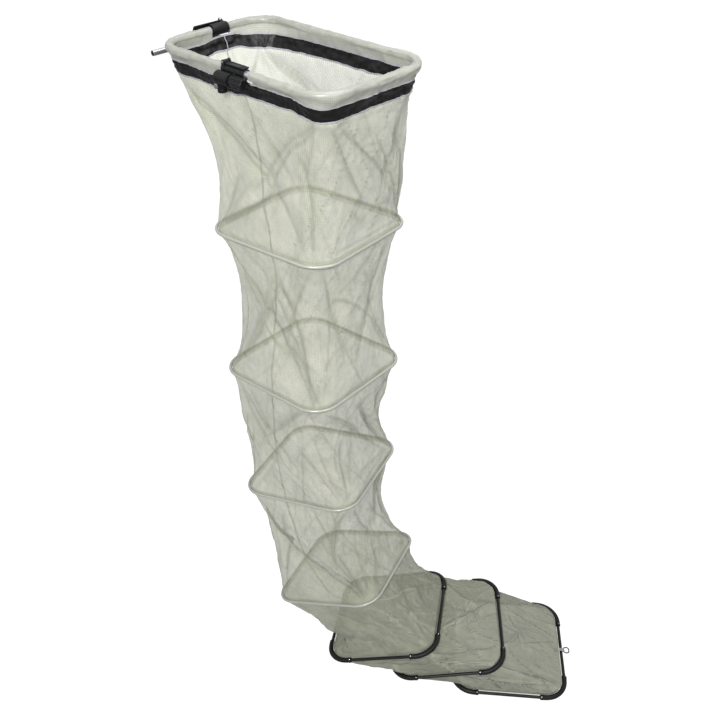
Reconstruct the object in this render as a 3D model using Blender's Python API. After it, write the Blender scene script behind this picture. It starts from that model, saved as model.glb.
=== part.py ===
"""Fishing keepnet, hung by its top frame with its tail lying in a heap below.

A mesh tube hangs from an oblong aluminium top frame and is held open by seven square hoops. The top
four metres of mesh carry slim aluminium hoops, and the three at the tail are tubes joined by moulded
corner pieces. A clamp on the long side of the top frame takes a bank stick, and one on the short side
holds the arm that carries the net.

Metres, +Z up. The origin is the middle of the arm's outer end face, which looks along -Y. The top
frame lies level, with its long sides along X, and every hoop is placed from the top frame's centre.
"""

import math
from dataclasses import dataclass

import bmesh
import bpy
from mathutils import Euler, Matrix, Vector

# Gaps between pieces
GAP = 0.0003
RUNNING_GAP = 0.0003

# Top frame: an oblong of round tube, sizes between tube centre lines
FRAME_LENGTH = 0.650
FRAME_WIDTH = 0.390
FRAME_CORNER_RADIUS = 0.080
FRAME_TUBE_RADIUS = 0.010

# Mesh sleeve round the top frame, left open at the two clamps
SLEEVE_RADIUS = FRAME_TUBE_RADIUS + 0.0065
SLEEVE_WALL = 0.0012
SLEEVE_SAG = 0.0045
SLEEVE_DROP = 0.0270
SLEEVE_TAIL_HALF = 0.0012
FRONT_OPENING_START = -0.0425
FRONT_OPENING_END = 0.0685
REAR_OPENING_START = -0.013
REAR_OPENING_END = 0.053

# Woven band under the sleeve, with a binding tape along both edges
CLOTH_INSET = 0.004
CLOTH_LEAN = 0.20
CORNER_INSET = 0.010
CORNER_LEAN = 0.50
CORNER_REACH = 0.120
BINDING_HEIGHT = 0.0042
BINDING_HALF = 0.0013
BAND_HEIGHT = 0.032
BAND_HALF = 0.0008

# Arm that carries the net
ARM_RADIUS = 0.0080
ARM_WALL = 0.0015
ARM_OUT = 0.030
ARM_DROP = 0.030
ARM_PAST_BRACKET = 0.008
ARM_PLUG_LENGTH = 0.014
BRACKET_RADIUS = 0.0125
BRACKET_BEFORE = 0.024
BRACKET_AFTER = 0.012
BRACKET_WEB_HALF = 0.0070

# Clamp on the long side, for a bank stick
SADDLE_RADIUS = 0.0140
SADDLE_TOP = 0.0125
SADDLE_START = -0.0360
SADDLE_END = 0.0500
LUG_START = 0.0150
LUG_END = 0.0210
LUG_RADIUS = 0.0135
LUG_HALF = 0.0080
AXLE_RADIUS = 0.0030
AXLE_HEAD_RADIUS = 0.0062
AXLE_HEAD = 0.0022
BARREL_START = -0.0375
BARREL_RADIUS = 0.0175
AXLE_REACH = FRAME_TUBE_RADIUS + BARREL_RADIUS + 0.0018
AXLE_SLOPE = math.radians(36.67)
AXLE_OUT = AXLE_REACH * math.cos(AXLE_SLOPE)
AXLE_DROP = AXLE_REACH * math.sin(AXLE_SLOPE)
RIB_DEPTH = 0.0012
RIB_COUNT = 4
WHEEL_END = 0.0665
WHEEL_RADIUS = 0.0160
WHEEL_LOBE = 0.0014
WHEEL_LOBES = 6
WHEEL_CAP = 0.0050
BOSS_ALONG = -0.0240
BOSS_RADIUS = 0.0125
BOSS_FOOT = 0.0550
BOSS_BORE_RADIUS = 0.0046
BOSS_BORE_DEPTH = 0.0110
SCREW_HEIGHT = 0.0085
SCREW_RADIUS = 0.0024
SCREW_SEAT = 0.0058
SCREW_REACH = 0.0080
WING_LENGTH = 0.0110
WING_HALF_HEIGHT = 0.0065
WING_HALF_THICKNESS = 0.0014

# Clamp on the short side, which grips the arm
REAR_ALONG = 0.020
REAR_COLLAR_RADIUS = 0.0165
REAR_COLLAR_HALF = 0.0290
REAR_ROLL = math.radians(63)

# Cam lever, the same on both clamps
PIN_RADIUS = 0.0020
PIN_HEAD_RADIUS = 0.0032
PIN_HEAD = 0.0014
PIN_ABOVE_SEAT = 0.0056
FRONT_PIN_ALONG = -0.0280
REAR_PIN_ALONG = -0.020
CAM_RADIUS = 0.0052
CAM_HALF_WIDTH = 0.0075
LEVER_HALF_WIDTH = 0.0110
LEVER_THICKNESS = 0.0042
LEVER_BELOW_PIN = 0.0048
FRONT_LEVER_LENGTH = 0.078
REAR_LEVER_LENGTH = 0.098
LEVER_START = 0.0085
EAR_THICKNESS = 0.0042
EAR_RADIUS = 0.0058

# Hoops: square, sizes between tube centre lines
HOOP_SIDE = 0.450
HOOP_CORNER_RADIUS = 0.085
LIGHT_TUBE_RADIUS = 0.0050
RAIL_RADIUS = 0.0062
CORNER_PIECE_RADIUS = 0.0095
CORNER_LIP_RADIUS = 0.0103
CORNER_STRAIGHT = 0.018
SOCKET_DEPTH = 0.014

# Mesh tube
NET_WALL = 0.0008
NET_TO_HOOP = 0.0008
BASE_WALL = 0.0010
SHOULDER_POWER = 2.6
STRAIGHT_POWER = 1.0
FOLD_COUNT = 9

# Loop for a peg at the far end of the tail
TAB_HALF_WIDTH = 0.0066
TAB_THICKNESS = 0.0014
TAB_REACH_IN = 0.0085
TAB_EYE_RADIUS = 0.0036
LOOP_WIRE_RADIUS = 0.0015
LOOP_WIDTH = 0.026
LOOP_REACH = 0.022
LOOP_CORNER_RADIUS = 0.0055

# Facets
ROUND_STEPS = 12
HOOP_TUBE_STEPS = 8
TAIL_TUBE_STEPS = 10
SLEEVE_STEPS = 9
CORNER_STEPS = 5
NET_SIDE_STEPS = 4
NET_ROWS = 5
LATHE_STEPS = 18
WHEEL_STEPS = 24
SMOOTH_ANGLE = math.radians(35)

FRAME_CENTRE = Vector((FRAME_LENGTH / 2 + ARM_OUT, FRAME_WIDTH / 2, ARM_DROP))


@dataclass(frozen=True)
class Hoop:
    """A hoop as it hangs: centre from the top frame's centre, then roll, pitch and turn in degrees.

    The rest is about the mesh above it: waist is how far that draws in at its corners, as a share of its
    half width, fold how deep its folds are, and drift how many folds they shift sideways going down.
    """

    name: str
    centre: tuple
    roll: float
    pitch: float
    turn: float
    tube: float
    waist: float
    fold: float
    drift: float
    rows: int = NET_ROWS
    power: float = STRAIGHT_POWER

    def pose(self):
        """The hoop's place and turn in the part's frame."""
        angles = Euler([math.radians(a) for a in (self.roll, self.pitch, self.turn)])
        return Matrix.Translation(FRAME_CENTRE + Vector(self.centre)) @ angles.to_matrix().to_4x4()


SLIM, THICK = LIGHT_TUBE_RADIUS, CORNER_LIP_RADIUS
HOOPS = (
    Hoop("ring_2", (0.011, 0.040, -0.519), -2.3, -0.5, 6.2, SLIM, 0.04, 0.0040, 0.3, power=SHOULDER_POWER),
    Hoop("ring_3", (0.002, 0.041, -1.046), -1.5, -1.9, 3.5, SLIM, 0.20, 0.0065, 0.9),
    Hoop("ring_4", (-0.006, 0.069, -1.556), -3.0, -8.4, 18.8, SLIM, 0.15, 0.0070, -0.8),
    Hoop("ring_5", (0.108, 0.081, -2.049), -5.5, -21.0, 20.9, SLIM, 0.20, 0.0085, 1.0),
    Hoop("ring_6", (0.275, 0.157, -2.287), -4.7, -17.5, 34.4, THICK, 0.06, 0.0110, 1.2),
    Hoop("ring_7", (0.471, 0.299, -2.327), 0.6, -11.7, 40.6, THICK, 0.04, 0.0080, -0.7, NET_ROWS - 1),
    Hoop("ring_8", (0.686, 0.439, -2.395), 0.0, 0.0, 38.3, THICK, 0.03, 0.0070, 0.6, NET_ROWS - 1),
)


class Outline:
    """A rounded oblong walked anticlockwise from the middle of its -Y side."""

    def __init__(self, length, width, radius):
        self.length = length
        self.width = width
        self.radius = radius
        self.long_run = length - 2 * radius
        self.short_run = width - 2 * radius
        self.bend = math.pi / 2 * radius
        self.perimeter = 2 * (self.long_run + self.short_run) + 4 * self.bend

    def runs(self):
        """Each stretch as its length and, on a bend, the bend's centre and first angle."""
        x = self.length / 2 - self.radius
        y = self.width / 2 - self.radius
        return (
            (self.long_run / 2, None, Vector((0, -self.width / 2)), 0),
            (self.bend, Vector((x, -y)), None, -90),
            (self.short_run, None, Vector((self.length / 2, -y)), 90),
            (self.bend, Vector((x, y)), None, 0),
            (self.long_run, None, Vector((x, self.width / 2)), 180),
            (self.bend, Vector((-x, y)), None, 90),
            (self.short_run, None, Vector((-self.length / 2, y)), 270),
            (self.bend, Vector((-x, -y)), None, 180),
            (self.long_run / 2, None, Vector((-x, -self.width / 2)), 0),
        )

    def at(self, distance):
        """The point this far along, and the outward normal there."""
        left = distance
        for length, centre, start, degrees in self.runs():
            if left <= length + 1e-9:
                break
            left -= length
        if centre is None:
            heading = Vector((math.cos(math.radians(degrees)), math.sin(math.radians(degrees))))
            return start + heading * left, Vector((heading.y, -heading.x))
        angle = math.radians(degrees) + left / self.radius
        normal = Vector((math.cos(angle), math.sin(angle)))
        return centre + normal * self.radius, normal

    def stops(self, start, end, side_steps, bend_steps):
        """Distances from start to end, with a step at each end of every run and within it."""
        distances = {start, end}
        done = 0.0
        for number, (length, centre, _, _) in enumerate(self.runs()):
            steps = side_steps if centre is None else bend_steps
            if number in (0, 8):
                steps = max(1, side_steps // 2)
            distances.update(done + length * step / steps for step in range(steps + 1))
            done += length
        inside = sorted(round(d, 9) for d in distances if start - 1e-9 <= d <= end + 1e-9)
        kept = inside[:1]
        for distance in inside[1:]:
            if distance - kept[-1] > 1e-4:
                kept.append(distance)
        return kept

    def loop(self, side_steps, bend_steps):
        """Stops round the whole outline, without the last, which is the first again."""
        return self.stops(0.0, self.perimeter, side_steps, bend_steps)[:-1]


FRAME_LINE = Outline(FRAME_LENGTH, FRAME_WIDTH, FRAME_CORNER_RADIUS)
HOOP_LINE = Outline(HOOP_SIDE, HOOP_SIDE, HOOP_CORNER_RADIUS)


def clear_scene():
    """Removes what the scene holds."""
    for thing in list(bpy.data.objects):
        bpy.data.objects.remove(thing, do_unlink=True)


def make_finish(name, colour, roughness, metallic=0.0):
    """A plain material of one colour."""
    finish = bpy.data.materials.new(name)
    finish.use_nodes = True
    shader = finish.node_tree.nodes["Principled BSDF"]
    shader.inputs["Base Color"].default_value = (*colour, 1.0)
    shader.inputs["Roughness"].default_value = roughness
    shader.inputs["Metallic"].default_value = metallic
    finish.diffuse_color = (*colour, 1.0)
    return finish


def make_empty(name, parent, place):
    """An empty with this place in its parent's space."""
    empty = bpy.data.objects.new(name, None)
    bpy.context.scene.collection.objects.link(empty)
    empty.parent = parent
    empty.matrix_local = place
    return empty


def add_body(name, shape, finish, parent):
    """Turns a bmesh into an object with outward faces, smooth but for its edges."""
    bmesh.ops.recalc_face_normals(shape, faces=shape.faces)
    mesh = bpy.data.meshes.new(name)
    shape.to_mesh(mesh)
    shape.free()
    mesh.shade_smooth()
    mesh.set_sharp_from_angle(angle=SMOOTH_ANGLE)
    body = bpy.data.objects.new(name, mesh)
    bpy.context.scene.collection.objects.link(body)
    body.parent = parent
    if finish:
        mesh.materials.append(finish)
    return body


def loft(name, sections, finish, parent, wrap=False, thin=False):
    """One closed body through loops of equally many points, capped at both ends or wrapped round.

    A thin wall has its outside in the first half of each loop and its inside in the other. Its faces are
    split along matching diagonals, so that the two sides bend alike.
    """
    shape = bmesh.new()
    rings = [[shape.verts.new(point) for point in section] for section in sections]
    pairs = list(zip(rings, rings[1:]))
    if wrap:
        pairs.append((rings[-1], rings[0]))
    else:
        shape.faces.new(rings[0])
        shape.faces.new(rings[-1])
    for first, second in pairs:
        for index, point in enumerate(first):
            follower = (index + 1) % len(first)
            face = (point, first[follower], second[follower], second[index])
            if not thin:
                shape.faces.new(face)
                continue
            if index >= len(first) // 2:
                face = face[1:] + face[:1]
            shape.faces.new(face[:3])
            shape.faces.new((face[2], face[3], face[0]))
    return add_body(name, shape, finish, parent)


def circle(radius, steps, start=0.0):
    """Points of a circle in a plane, anticlockwise."""
    angles = (start + math.tau * step / steps for step in range(steps))
    return [Vector((radius * math.cos(a), radius * math.sin(a))) for a in angles]


def section_at(line, distance, profile, rise=0.0):
    """A profile of (outwards, up) points set square to an outline."""
    point, normal = line.at(distance)
    return [Vector((*(point + normal * p.x), p.y + rise)) for p in profile]


def hoop_tube(name, line, radius, steps, finish, parent):
    """A round tube all the way round an outline."""
    profile = circle(radius, steps)
    sections = [section_at(line, d, profile) for d in line.loop(1, CORNER_STEPS)]
    return loft(name, sections, finish, parent, wrap=True)


def drawn_in(distance, height):
    """How far inwards of the tube the cloth hangs here: most at the far corner on the arm's side."""
    far_corner = FRAME_LINE.long_run * 1.5 + FRAME_LINE.short_run + FRAME_LINE.bend * 2.5
    near = math.exp(-(((distance - far_corner) / CORNER_REACH) ** 2))
    depth = -SLEEVE_DROP - height
    return CLOTH_INSET + CORNER_INSET * near + (CLOTH_LEAN + CORNER_LEAN * near) * depth


def flat_band(name, half, top, height, finish, parent):
    """A strip all the way round under the top frame, leaning inwards as it goes down."""
    low = top - height
    sections = []
    for distance in FRAME_LINE.loop(2, CORNER_STEPS):
        upper, lower = -drawn_in(distance, top), -drawn_in(distance, low)
        corners = ((lower - half, low), (lower + half, low), (upper + half, top), (upper - half, top))
        sections.append(section_at(FRAME_LINE, distance, [Vector(corner) for corner in corners]))
    return loft(name, sections, finish, parent, wrap=True)


def lathe(name, profile, finish, parent, axis="X", steps=LATHE_STEPS):
    """Turns a closed profile of (along, radius) points round an axis through the parent's origin."""
    sections = []
    for step in range(steps):
        angle = math.tau * step / steps
        side = (math.cos(angle), math.sin(angle))
        if axis == "X":
            sections.append([Vector((a, r * side[0], r * side[1])) for a, r in profile])
        else:
            sections.append([Vector((r * side[1], a, r * side[0])) for a, r in profile])
    return loft(name, sections, finish, parent, wrap=True)


def rod(name, start, end, radius, finish, parent, axis="X", steps=LATHE_STEPS):
    """A solid round bar along an axis through the parent's origin."""
    ring = circle(radius, steps)
    if axis == "X":
        sections = [[Vector((a, p.x, p.y)) for p in ring] for a in (start, end)]
    else:
        sections = [[Vector((p.x, a, p.y)) for p in ring] for a in (start, end)]
    return loft(name, sections, finish, parent)


def block(name, low, high, finish, parent):
    """A plain block between two corners."""
    shape = bmesh.new()
    size = Vector(high) - Vector(low)
    middle = (Vector(high) + Vector(low)) / 2
    place = Matrix.Translation(middle) @ Matrix.Diagonal((*size, 1.0))
    bmesh.ops.create_cube(shape, size=1.0, matrix=place)
    return add_body(name, shape, finish, parent)


def combine(body, helper, operation):
    """Adds a helper to a body or cuts it away, and leaves the helper out of the model."""
    helper.hide_render = True
    helper.display_type = "WIRE"
    modifier = body.modifiers.new(operation.lower() + "_" + helper.name, "BOOLEAN")
    modifier.operation = operation
    modifier.object = helper
    modifier.solver = "EXACT"


def round_edges(body, width, segments=2):
    """Rounds the sharp edges of a moulded or pressed piece."""
    bevel = body.modifiers.new("rounded_edges", "BEVEL")
    bevel.width = width
    bevel.segments = segments
    bevel.limit_method = "ANGLE"
    bevel.angle_limit = SMOOTH_ANGLE


def sleeve_section(distance):
    """A sleeve's outside and lining here: cloth folded over the tube, run down to a narrow foot."""
    first, last = math.radians(-50), math.radians(230)
    angles = [first + (last - first) * step / (SLEEVE_STEPS - 1) for step in range(SLEEVE_STEPS)]
    outside = [Vector((math.cos(a), math.sin(a))) * SLEEVE_RADIUS for a in angles]
    foot = Vector((-drawn_in(distance, -SLEEVE_DROP), SLEEVE_SAG - SLEEVE_DROP))
    across = Vector((SLEEVE_TAIL_HALF, 0))
    outside += [foot - across, foot + across]
    angles += [math.radians(256), math.radians(284)]
    lining = [Vector((math.cos(a), math.sin(a))) * (SLEEVE_RADIUS - SLEEVE_WALL) for a in angles]
    return outside, lining


def make_sleeve(name, start, end, finish, parent):
    """A stretch of mesh sleeve over the top frame's tube, open at both ends."""
    outside, inside = [], []
    for distance in FRAME_LINE.stops(start, end, 2, CORNER_STEPS):
        skin, lining = sleeve_section(distance)
        outside.append(section_at(FRAME_LINE, distance, skin, -SLEEVE_SAG))
        inside.append(section_at(FRAME_LINE, distance, lining, -SLEEVE_SAG))
    return loft(name, outside + inside[::-1], finish, parent, wrap=True)


def short_side_distance(y):
    """How far along the top frame's outline its -X side passes this y."""
    to_side = FRAME_LINE.long_run * 1.5 + FRAME_LINE.short_run + 3 * FRAME_LINE.bend
    return to_side + FRAME_LINE.short_run / 2 - y


def make_top_frame(parent, finishes):
    """The tube, its two sleeves, and the woven band between its bindings."""
    hoop_tube("frame_tube", FRAME_LINE, FRAME_TUBE_RADIUS, ROUND_STEPS, finishes["aluminium"], parent)
    mesh = finishes["mesh"]
    rear_start = short_side_distance(REAR_OPENING_END)
    rear_end = short_side_distance(REAR_OPENING_START)
    front_start = FRAME_LINE.perimeter + FRONT_OPENING_START
    make_sleeve("sleeve_long", FRONT_OPENING_END, rear_start, mesh, parent)
    make_sleeve("sleeve_short", rear_end, front_start, mesh, parent)
    top = -SLEEVE_DROP - GAP
    tape = finishes["tape"]
    flat_band("band_top_binding", BINDING_HALF, top, BINDING_HEIGHT, tape, parent)
    band_top = top - BINDING_HEIGHT - GAP
    flat_band("woven_band", BAND_HALF, band_top, BAND_HEIGHT, finishes["webbing"], parent)
    low = band_top - BAND_HEIGHT - GAP
    flat_band("band_low_binding", BINDING_HALF, low, BINDING_HEIGHT, tape, parent)
    return low - BINDING_HEIGHT - GAP


def collar_profile(start, end, bore, radius, ribs=0):
    """A collar's half section, with shallow grooves between ribs."""
    chamfer = 0.0012
    points = [(start, bore), (start, radius - chamfer), (start + chamfer, radius)]
    pitch = (end - start - 2 * chamfer) / (ribs + 1)
    groove = 0.0014
    for rib in range(ribs):
        middle = start + chamfer + pitch * (rib + 1)
        points += [(middle - groove, radius), (middle - groove / 2, radius - RIB_DEPTH)]
        points += [(middle + groove / 2, radius - RIB_DEPTH), (middle + groove, radius)]
    return points + [(end - chamfer, radius), (end, radius - chamfer), (end, bore)]


def make_ears(collar, pin_along, pin_height, parent):
    """Two ears on a collar, bored for the lever's pin."""
    inner = CAM_HALF_WIDTH + GAP
    foot = math.sqrt((FRAME_TUBE_RADIUS + RUNNING_GAP) ** 2 - inner**2) + 0.0004
    outline = [Vector((pin_along - EAR_RADIUS, foot)), Vector((pin_along + EAR_RADIUS, foot))]
    for step in range(7):
        angle = math.pi * step / 6
        turned = Vector((math.cos(angle), math.sin(angle))) * EAR_RADIUS
        outline.append(Vector((pin_along, pin_height)) + turned)
    for side in (-1, 1):
        near, far = side * inner, side * (inner + EAR_THICKNESS)
        sections = [[Vector((p.x, y, p.y)) for p in outline] for y in (near, far)]
        side_name = "near" if side < 0 else "far"
        combine(collar, loft(f"{collar.name}_ear_{side_name}", sections, None, parent), "UNION")
    pivot = make_empty(collar.name + "_bore_place", parent, Matrix.Translation((pin_along, 0, pin_height)))
    reach = inner + 2 * EAR_THICKNESS
    bore = rod(collar.name + "_pin_bore", -reach, reach, PIN_RADIUS + RUNNING_GAP, None, pivot, "Y", 16)
    combine(collar, bore, "DIFFERENCE")


def make_lever(prefix, pin_along, pin_height, length, parent, finishes):
    """A cam lever and its pin, with their origins on the pin's axis."""
    place = Matrix.Translation((pin_along, 0, pin_height))
    pivot = make_empty(prefix + "_lever_pivot", parent, place)
    bore = PIN_RADIUS + RUNNING_GAP
    half = CAM_HALF_WIDTH
    barrel = [(-half, bore), (-half, CAM_RADIUS), (half, CAM_RADIUS), (half, bore)]
    lever = lathe(prefix + "_lever", barrel, finishes["plastic"], pivot, "Y", 16)
    low = -LEVER_BELOW_PIN
    high = low + LEVER_THICKNESS
    neck_low = (bore + 0.0012, -half + 0.0002, low + 0.0002)
    neck_high = (LEVER_START + 0.002, half - 0.0002, high - 0.0002)
    combine(lever, block(prefix + "_lever_neck", neck_low, neck_high, None, pivot), "UNION")
    wide = LEVER_HALF_WIDTH
    plate = block(
        prefix + "_lever_plate", (LEVER_START, -wide, low), (length, wide, high), None, pivot
    )
    round_edges(plate, 0.0014)
    combine(lever, plate, "UNION")
    reach = half + GAP + EAR_THICKNESS + GAP
    head, thin = PIN_HEAD_RADIUS, PIN_RADIUS
    ends = [(-reach - PIN_HEAD, head), (-reach, head), (-reach, thin)]
    ends += [(reach, thin), (reach, head), (reach + PIN_HEAD, head)]
    ring = circle(1.0, 12)
    sections = [[Vector((p.x * r, along, p.y * r)) for p in ring] for along, r in ends]
    loft(prefix + "_lever_pin", sections, finishes["steel"], pivot)


def lobed_ring(radius, lobe, lobes, steps):
    """A circle whose radius swells and shrinks round it."""
    points = []
    for step in range(steps):
        angle = math.tau * step / steps
        reach = radius + lobe * math.cos(lobes * angle)
        points.append(Vector((reach * math.cos(angle), reach * math.sin(angle))))
    return points


def make_saddle(parent, axle_place, finishes):
    """The clip over the tube, with ears for the lever and a lug for the axle below."""
    bore = FRAME_TUBE_RADIUS + RUNNING_GAP
    profile = collar_profile(SADDLE_START, SADDLE_END, bore, SADDLE_RADIUS)
    saddle = lathe("front_saddle", profile, finishes["plastic"], parent)
    clear = BARREL_RADIUS + 0.0005
    for name, start, end in (
        ("front_barrel_clearance", SADDLE_START - 0.01, LUG_START),
        ("front_wheel_clearance", LUG_END, SADDLE_END + 0.01),
    ):
        combine(saddle, rod(name, start, end, clear, None, axle_place, steps=48), "DIFFERENCE")
    combine(saddle, rod("front_lug", LUG_START, LUG_END, LUG_RADIUS, None, axle_place), "UNION")
    lean = Matrix.Rotation(-math.atan2(AXLE_OUT, AXLE_DROP), 4, "X")
    web_place = make_empty("front_lug_place", parent, lean)
    web_low = (LUG_START, -LUG_HALF, -math.hypot(AXLE_OUT, AXLE_DROP))
    web = block("front_lug_web", web_low, (LUG_END, LUG_HALF, -bore - 0.0006), None, web_place)
    combine(saddle, web, "UNION")
    reach = 2 * SADDLE_RADIUS
    shave_low = (SADDLE_START - 0.01, -reach, SADDLE_TOP)
    shave = block("front_flat_top", shave_low, (SADDLE_END + 0.01, reach, reach), None, parent)
    combine(saddle, shave, "DIFFERENCE")
    pin_height = SADDLE_TOP + PIN_ABOVE_SEAT
    make_ears(saddle, FRONT_PIN_ALONG, pin_height, parent)
    lug_bore = AXLE_RADIUS + RUNNING_GAP
    hole = rod("front_axle_hole", LUG_START - 0.01, LUG_END + 0.01, lug_bore, None, axle_place, steps=16)
    combine(saddle, hole, "DIFFERENCE")
    make_lever("front", FRONT_PIN_ALONG, pin_height, FRONT_LEVER_LENGTH, parent, finishes)


def make_barrel(axle_place, finishes):
    """The ribbed barrel that tilts on the axle, and its threaded boss for a bank stick."""
    bore = AXLE_RADIUS + RUNNING_GAP
    profile = collar_profile(BARREL_START, LUG_START - GAP, bore, BARREL_RADIUS, RIB_COUNT)
    barrel = lathe("front_barrel", profile, finishes["plastic"], axle_place)
    foot = BOSS_FOOT - AXLE_DROP
    ring = circle(BOSS_RADIUS, LATHE_STEPS)
    narrow = 1.0 - 0.0010 / BOSS_RADIUS
    steps = ((-bore - 0.003, 1.0), (0.001 - foot, 1.0), (-foot, narrow))
    sections = [[Vector((BOSS_ALONG + p.x * k, p.y * k, z)) for p in ring] for z, k in steps]
    combine(barrel, loft("front_boss", sections, None, axle_place), "UNION")
    ring = circle(BOSS_BORE_RADIUS, 16)
    depths = (-foot - 0.01, -foot + BOSS_BORE_DEPTH)
    sections = [[Vector((BOSS_ALONG + p.x, p.y, z)) for p in ring] for z in depths]
    combine(barrel, loft("front_boss_bore", sections, None, axle_place), "DIFFERENCE")
    screw_spot = Matrix.Translation((BOSS_ALONG - BOSS_RADIUS, 0, SCREW_HEIGHT - foot))
    screw_place = make_empty("front_screw_axis", axle_place, screw_spot)
    hole = rod(
        "front_screw_seat", -0.01, SCREW_SEAT + GAP, SCREW_RADIUS + GAP, None, screw_place, steps=16
    )
    combine(barrel, hole, "DIFFERENCE")
    steel = finishes["steel"]
    screw = rod("front_screw", -SCREW_REACH, SCREW_SEAT, SCREW_RADIUS, steel, screw_place, steps=16)
    wing = block(
        "front_screw_wing",
        (-SCREW_REACH - WING_LENGTH, -WING_HALF_THICKNESS, -WING_HALF_HEIGHT),
        (-SCREW_REACH + 0.002, WING_HALF_THICKNESS, WING_HALF_HEIGHT),
        None,
        screw_place,
    )
    round_edges(wing, 0.0008)
    combine(screw, wing, "UNION")


def make_front_clamp(parent, finishes):
    """The saddle and its lever, with the barrel and the locking wheel on an axle below."""
    axle_spot = Matrix.Translation((0, -AXLE_OUT, -AXLE_DROP))
    axle_place = make_empty("front_axle_centre", parent, axle_spot)
    make_saddle(parent, axle_place, finishes)
    make_barrel(axle_place, finishes)

    start = LUG_END + GAP
    seat = WHEEL_END - WHEEL_CAP
    bore = circle(AXLE_RADIUS + RUNNING_GAP, WHEEL_STEPS)
    lobes = lobed_ring(WHEEL_RADIUS, WHEEL_LOBE, WHEEL_LOBES, WHEEL_STEPS)
    rings = [(bore, seat, 1.0), (bore, start, 1.0), (lobes, start, 0.90), (lobes, start + 0.003, 1.0)]
    rings += [(lobes, start + 0.026, 0.97), (lobes, start + 0.029, 0.88), (lobes, start + 0.032, 0.97)]
    rings += [(lobes, WHEEL_END - 0.003, 0.97), (lobes, WHEEL_END, 0.86)]
    sections = [[Vector((a, p.x * k, p.y * k)) for p in ring] for ring, a, k in rings]
    loft("front_wheel", sections, finishes["plastic"], axle_place)

    head = BARREL_START - GAP
    ends = [(head - AXLE_HEAD, AXLE_HEAD_RADIUS), (head, AXLE_HEAD_RADIUS), (head, AXLE_RADIUS)]
    ends.append((seat - GAP, AXLE_RADIUS))
    ring = circle(1.0, 16)
    sections = [[Vector((a, p.x * r, p.y * r)) for p in ring] for a, r in ends]
    loft("front_axle", sections, finishes["steel"], axle_place)


def make_rear_clamp(parent, finishes):
    """The smooth collar with its cam lever, rolled outwards about the tube."""
    radius, half = REAR_COLLAR_RADIUS, REAR_COLLAR_HALF
    profile = collar_profile(-half, half, FRAME_TUBE_RADIUS + RUNNING_GAP, radius)
    collar = lathe("rear_collar", profile, finishes["plastic"], parent)
    pin_height = radius + PIN_ABOVE_SEAT
    make_ears(collar, REAR_PIN_ALONG, pin_height, parent)
    make_lever("rear", REAR_PIN_ALONG, pin_height, REAR_LEVER_LENGTH, parent, finishes)


def make_arm(root, finishes):
    """The arm, the plug in its outer end, and the bracket that ties it to the rear collar."""
    clamp_middle = FRAME_CENTRE.y + REAR_ALONG
    length = clamp_middle + BRACKET_AFTER + ARM_PAST_BRACKET
    inner = ARM_RADIUS - ARM_WALL
    wall = [(0.0, inner), (0.0, ARM_RADIUS), (length, ARM_RADIUS), (length, inner)]
    lathe("arm_tube", wall, finishes["aluminium"], root, "Y")
    rod("arm_end_plug", 0.0, ARM_PLUG_LENGTH, inner - GAP, finishes["plastic"], root, "Y")

    low = clamp_middle - BRACKET_BEFORE
    high = clamp_middle + BRACKET_AFTER
    bore = ARM_RADIUS + GAP
    ring = [(low, bore), (low, BRACKET_RADIUS), (high, BRACKET_RADIUS), (high, bore)]
    bracket = lathe("rear_bracket", ring, finishes["plastic"], root, "Y")
    to_tube = Vector((ARM_OUT, 0, ARM_DROP))
    lean = Matrix.Rotation(-math.atan2(ARM_DROP, ARM_OUT), 4, "Y")
    web_place = make_empty("rear_bracket_place", root, lean)
    web = block(
        "rear_bracket_web",
        (bore + 0.001, low, -BRACKET_WEB_HALF),
        (to_tube.length - FRAME_TUBE_RADIUS, high, BRACKET_WEB_HALF),
        None,
        web_place,
    )
    combine(bracket, web, "UNION")
    tube_place = make_empty("rear_saddle_place", root, Matrix.Translation(to_tube))
    margin = 0.01
    saddle = rod(
        "rear_bracket_saddle", low - margin, high + margin, REAR_COLLAR_RADIUS + GAP, None, tube_place, "Y"
    )
    combine(bracket, saddle, "DIFFERENCE")


def make_light_hoop(hoop, pivot, finishes):
    """A slim hoop of bent tube."""
    hoop_tube(hoop.name + "_tube", HOOP_LINE, hoop.tube, HOOP_TUBE_STEPS, finishes["pale_metal"], pivot)


def make_corner_piece(name, turn, finish, parent):
    """A moulded bend with a socket and a lip at each end."""
    bend = HOOP_LINE.bend
    first = HOOP_LINE.long_run / 2 - CORNER_STRAIGHT
    last = HOOP_LINE.long_run / 2 + bend + CORNER_STRAIGHT
    bore = RAIL_RADIUS + GAP
    lip = 0.006
    stops = [(first + SOCKET_DEPTH, bore), (first, bore), (first, CORNER_LIP_RADIUS)]
    stops += [(first + lip, CORNER_LIP_RADIUS), (first + lip, CORNER_PIECE_RADIUS)]
    for step in range(CORNER_STEPS + 1):
        stops.append((HOOP_LINE.long_run / 2 + bend * step / CORNER_STEPS, CORNER_PIECE_RADIUS))
    stops += [(last - lip, CORNER_PIECE_RADIUS), (last - lip, CORNER_LIP_RADIUS)]
    stops += [(last, CORNER_LIP_RADIUS), (last, bore), (last - SOCKET_DEPTH, bore)]
    sections = [section_at(HOOP_LINE, d, circle(r, TAIL_TUBE_STEPS)) for d, r in stops]
    spin = Matrix.Rotation(turn, 3, "Z")
    turned = [[spin @ point for point in section] for section in sections]
    return loft(name, turned, finish, parent)


def make_rail(name, turn, finish, parent):
    """A straight tube between two corner pieces, seated in their sockets."""
    half = HOOP_LINE.long_run / 2 - CORNER_STRAIGHT + SOCKET_DEPTH - GAP
    spin = Matrix.Rotation(turn, 3, "Z")
    ring = circle(RAIL_RADIUS, TAIL_TUBE_STEPS)
    sections = []
    for along in (-half, half):
        sections.append([spin @ Vector((along, p.x - HOOP_SIDE / 2, p.y)) for p in ring])
    return loft(name, sections, finish, parent)


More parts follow.
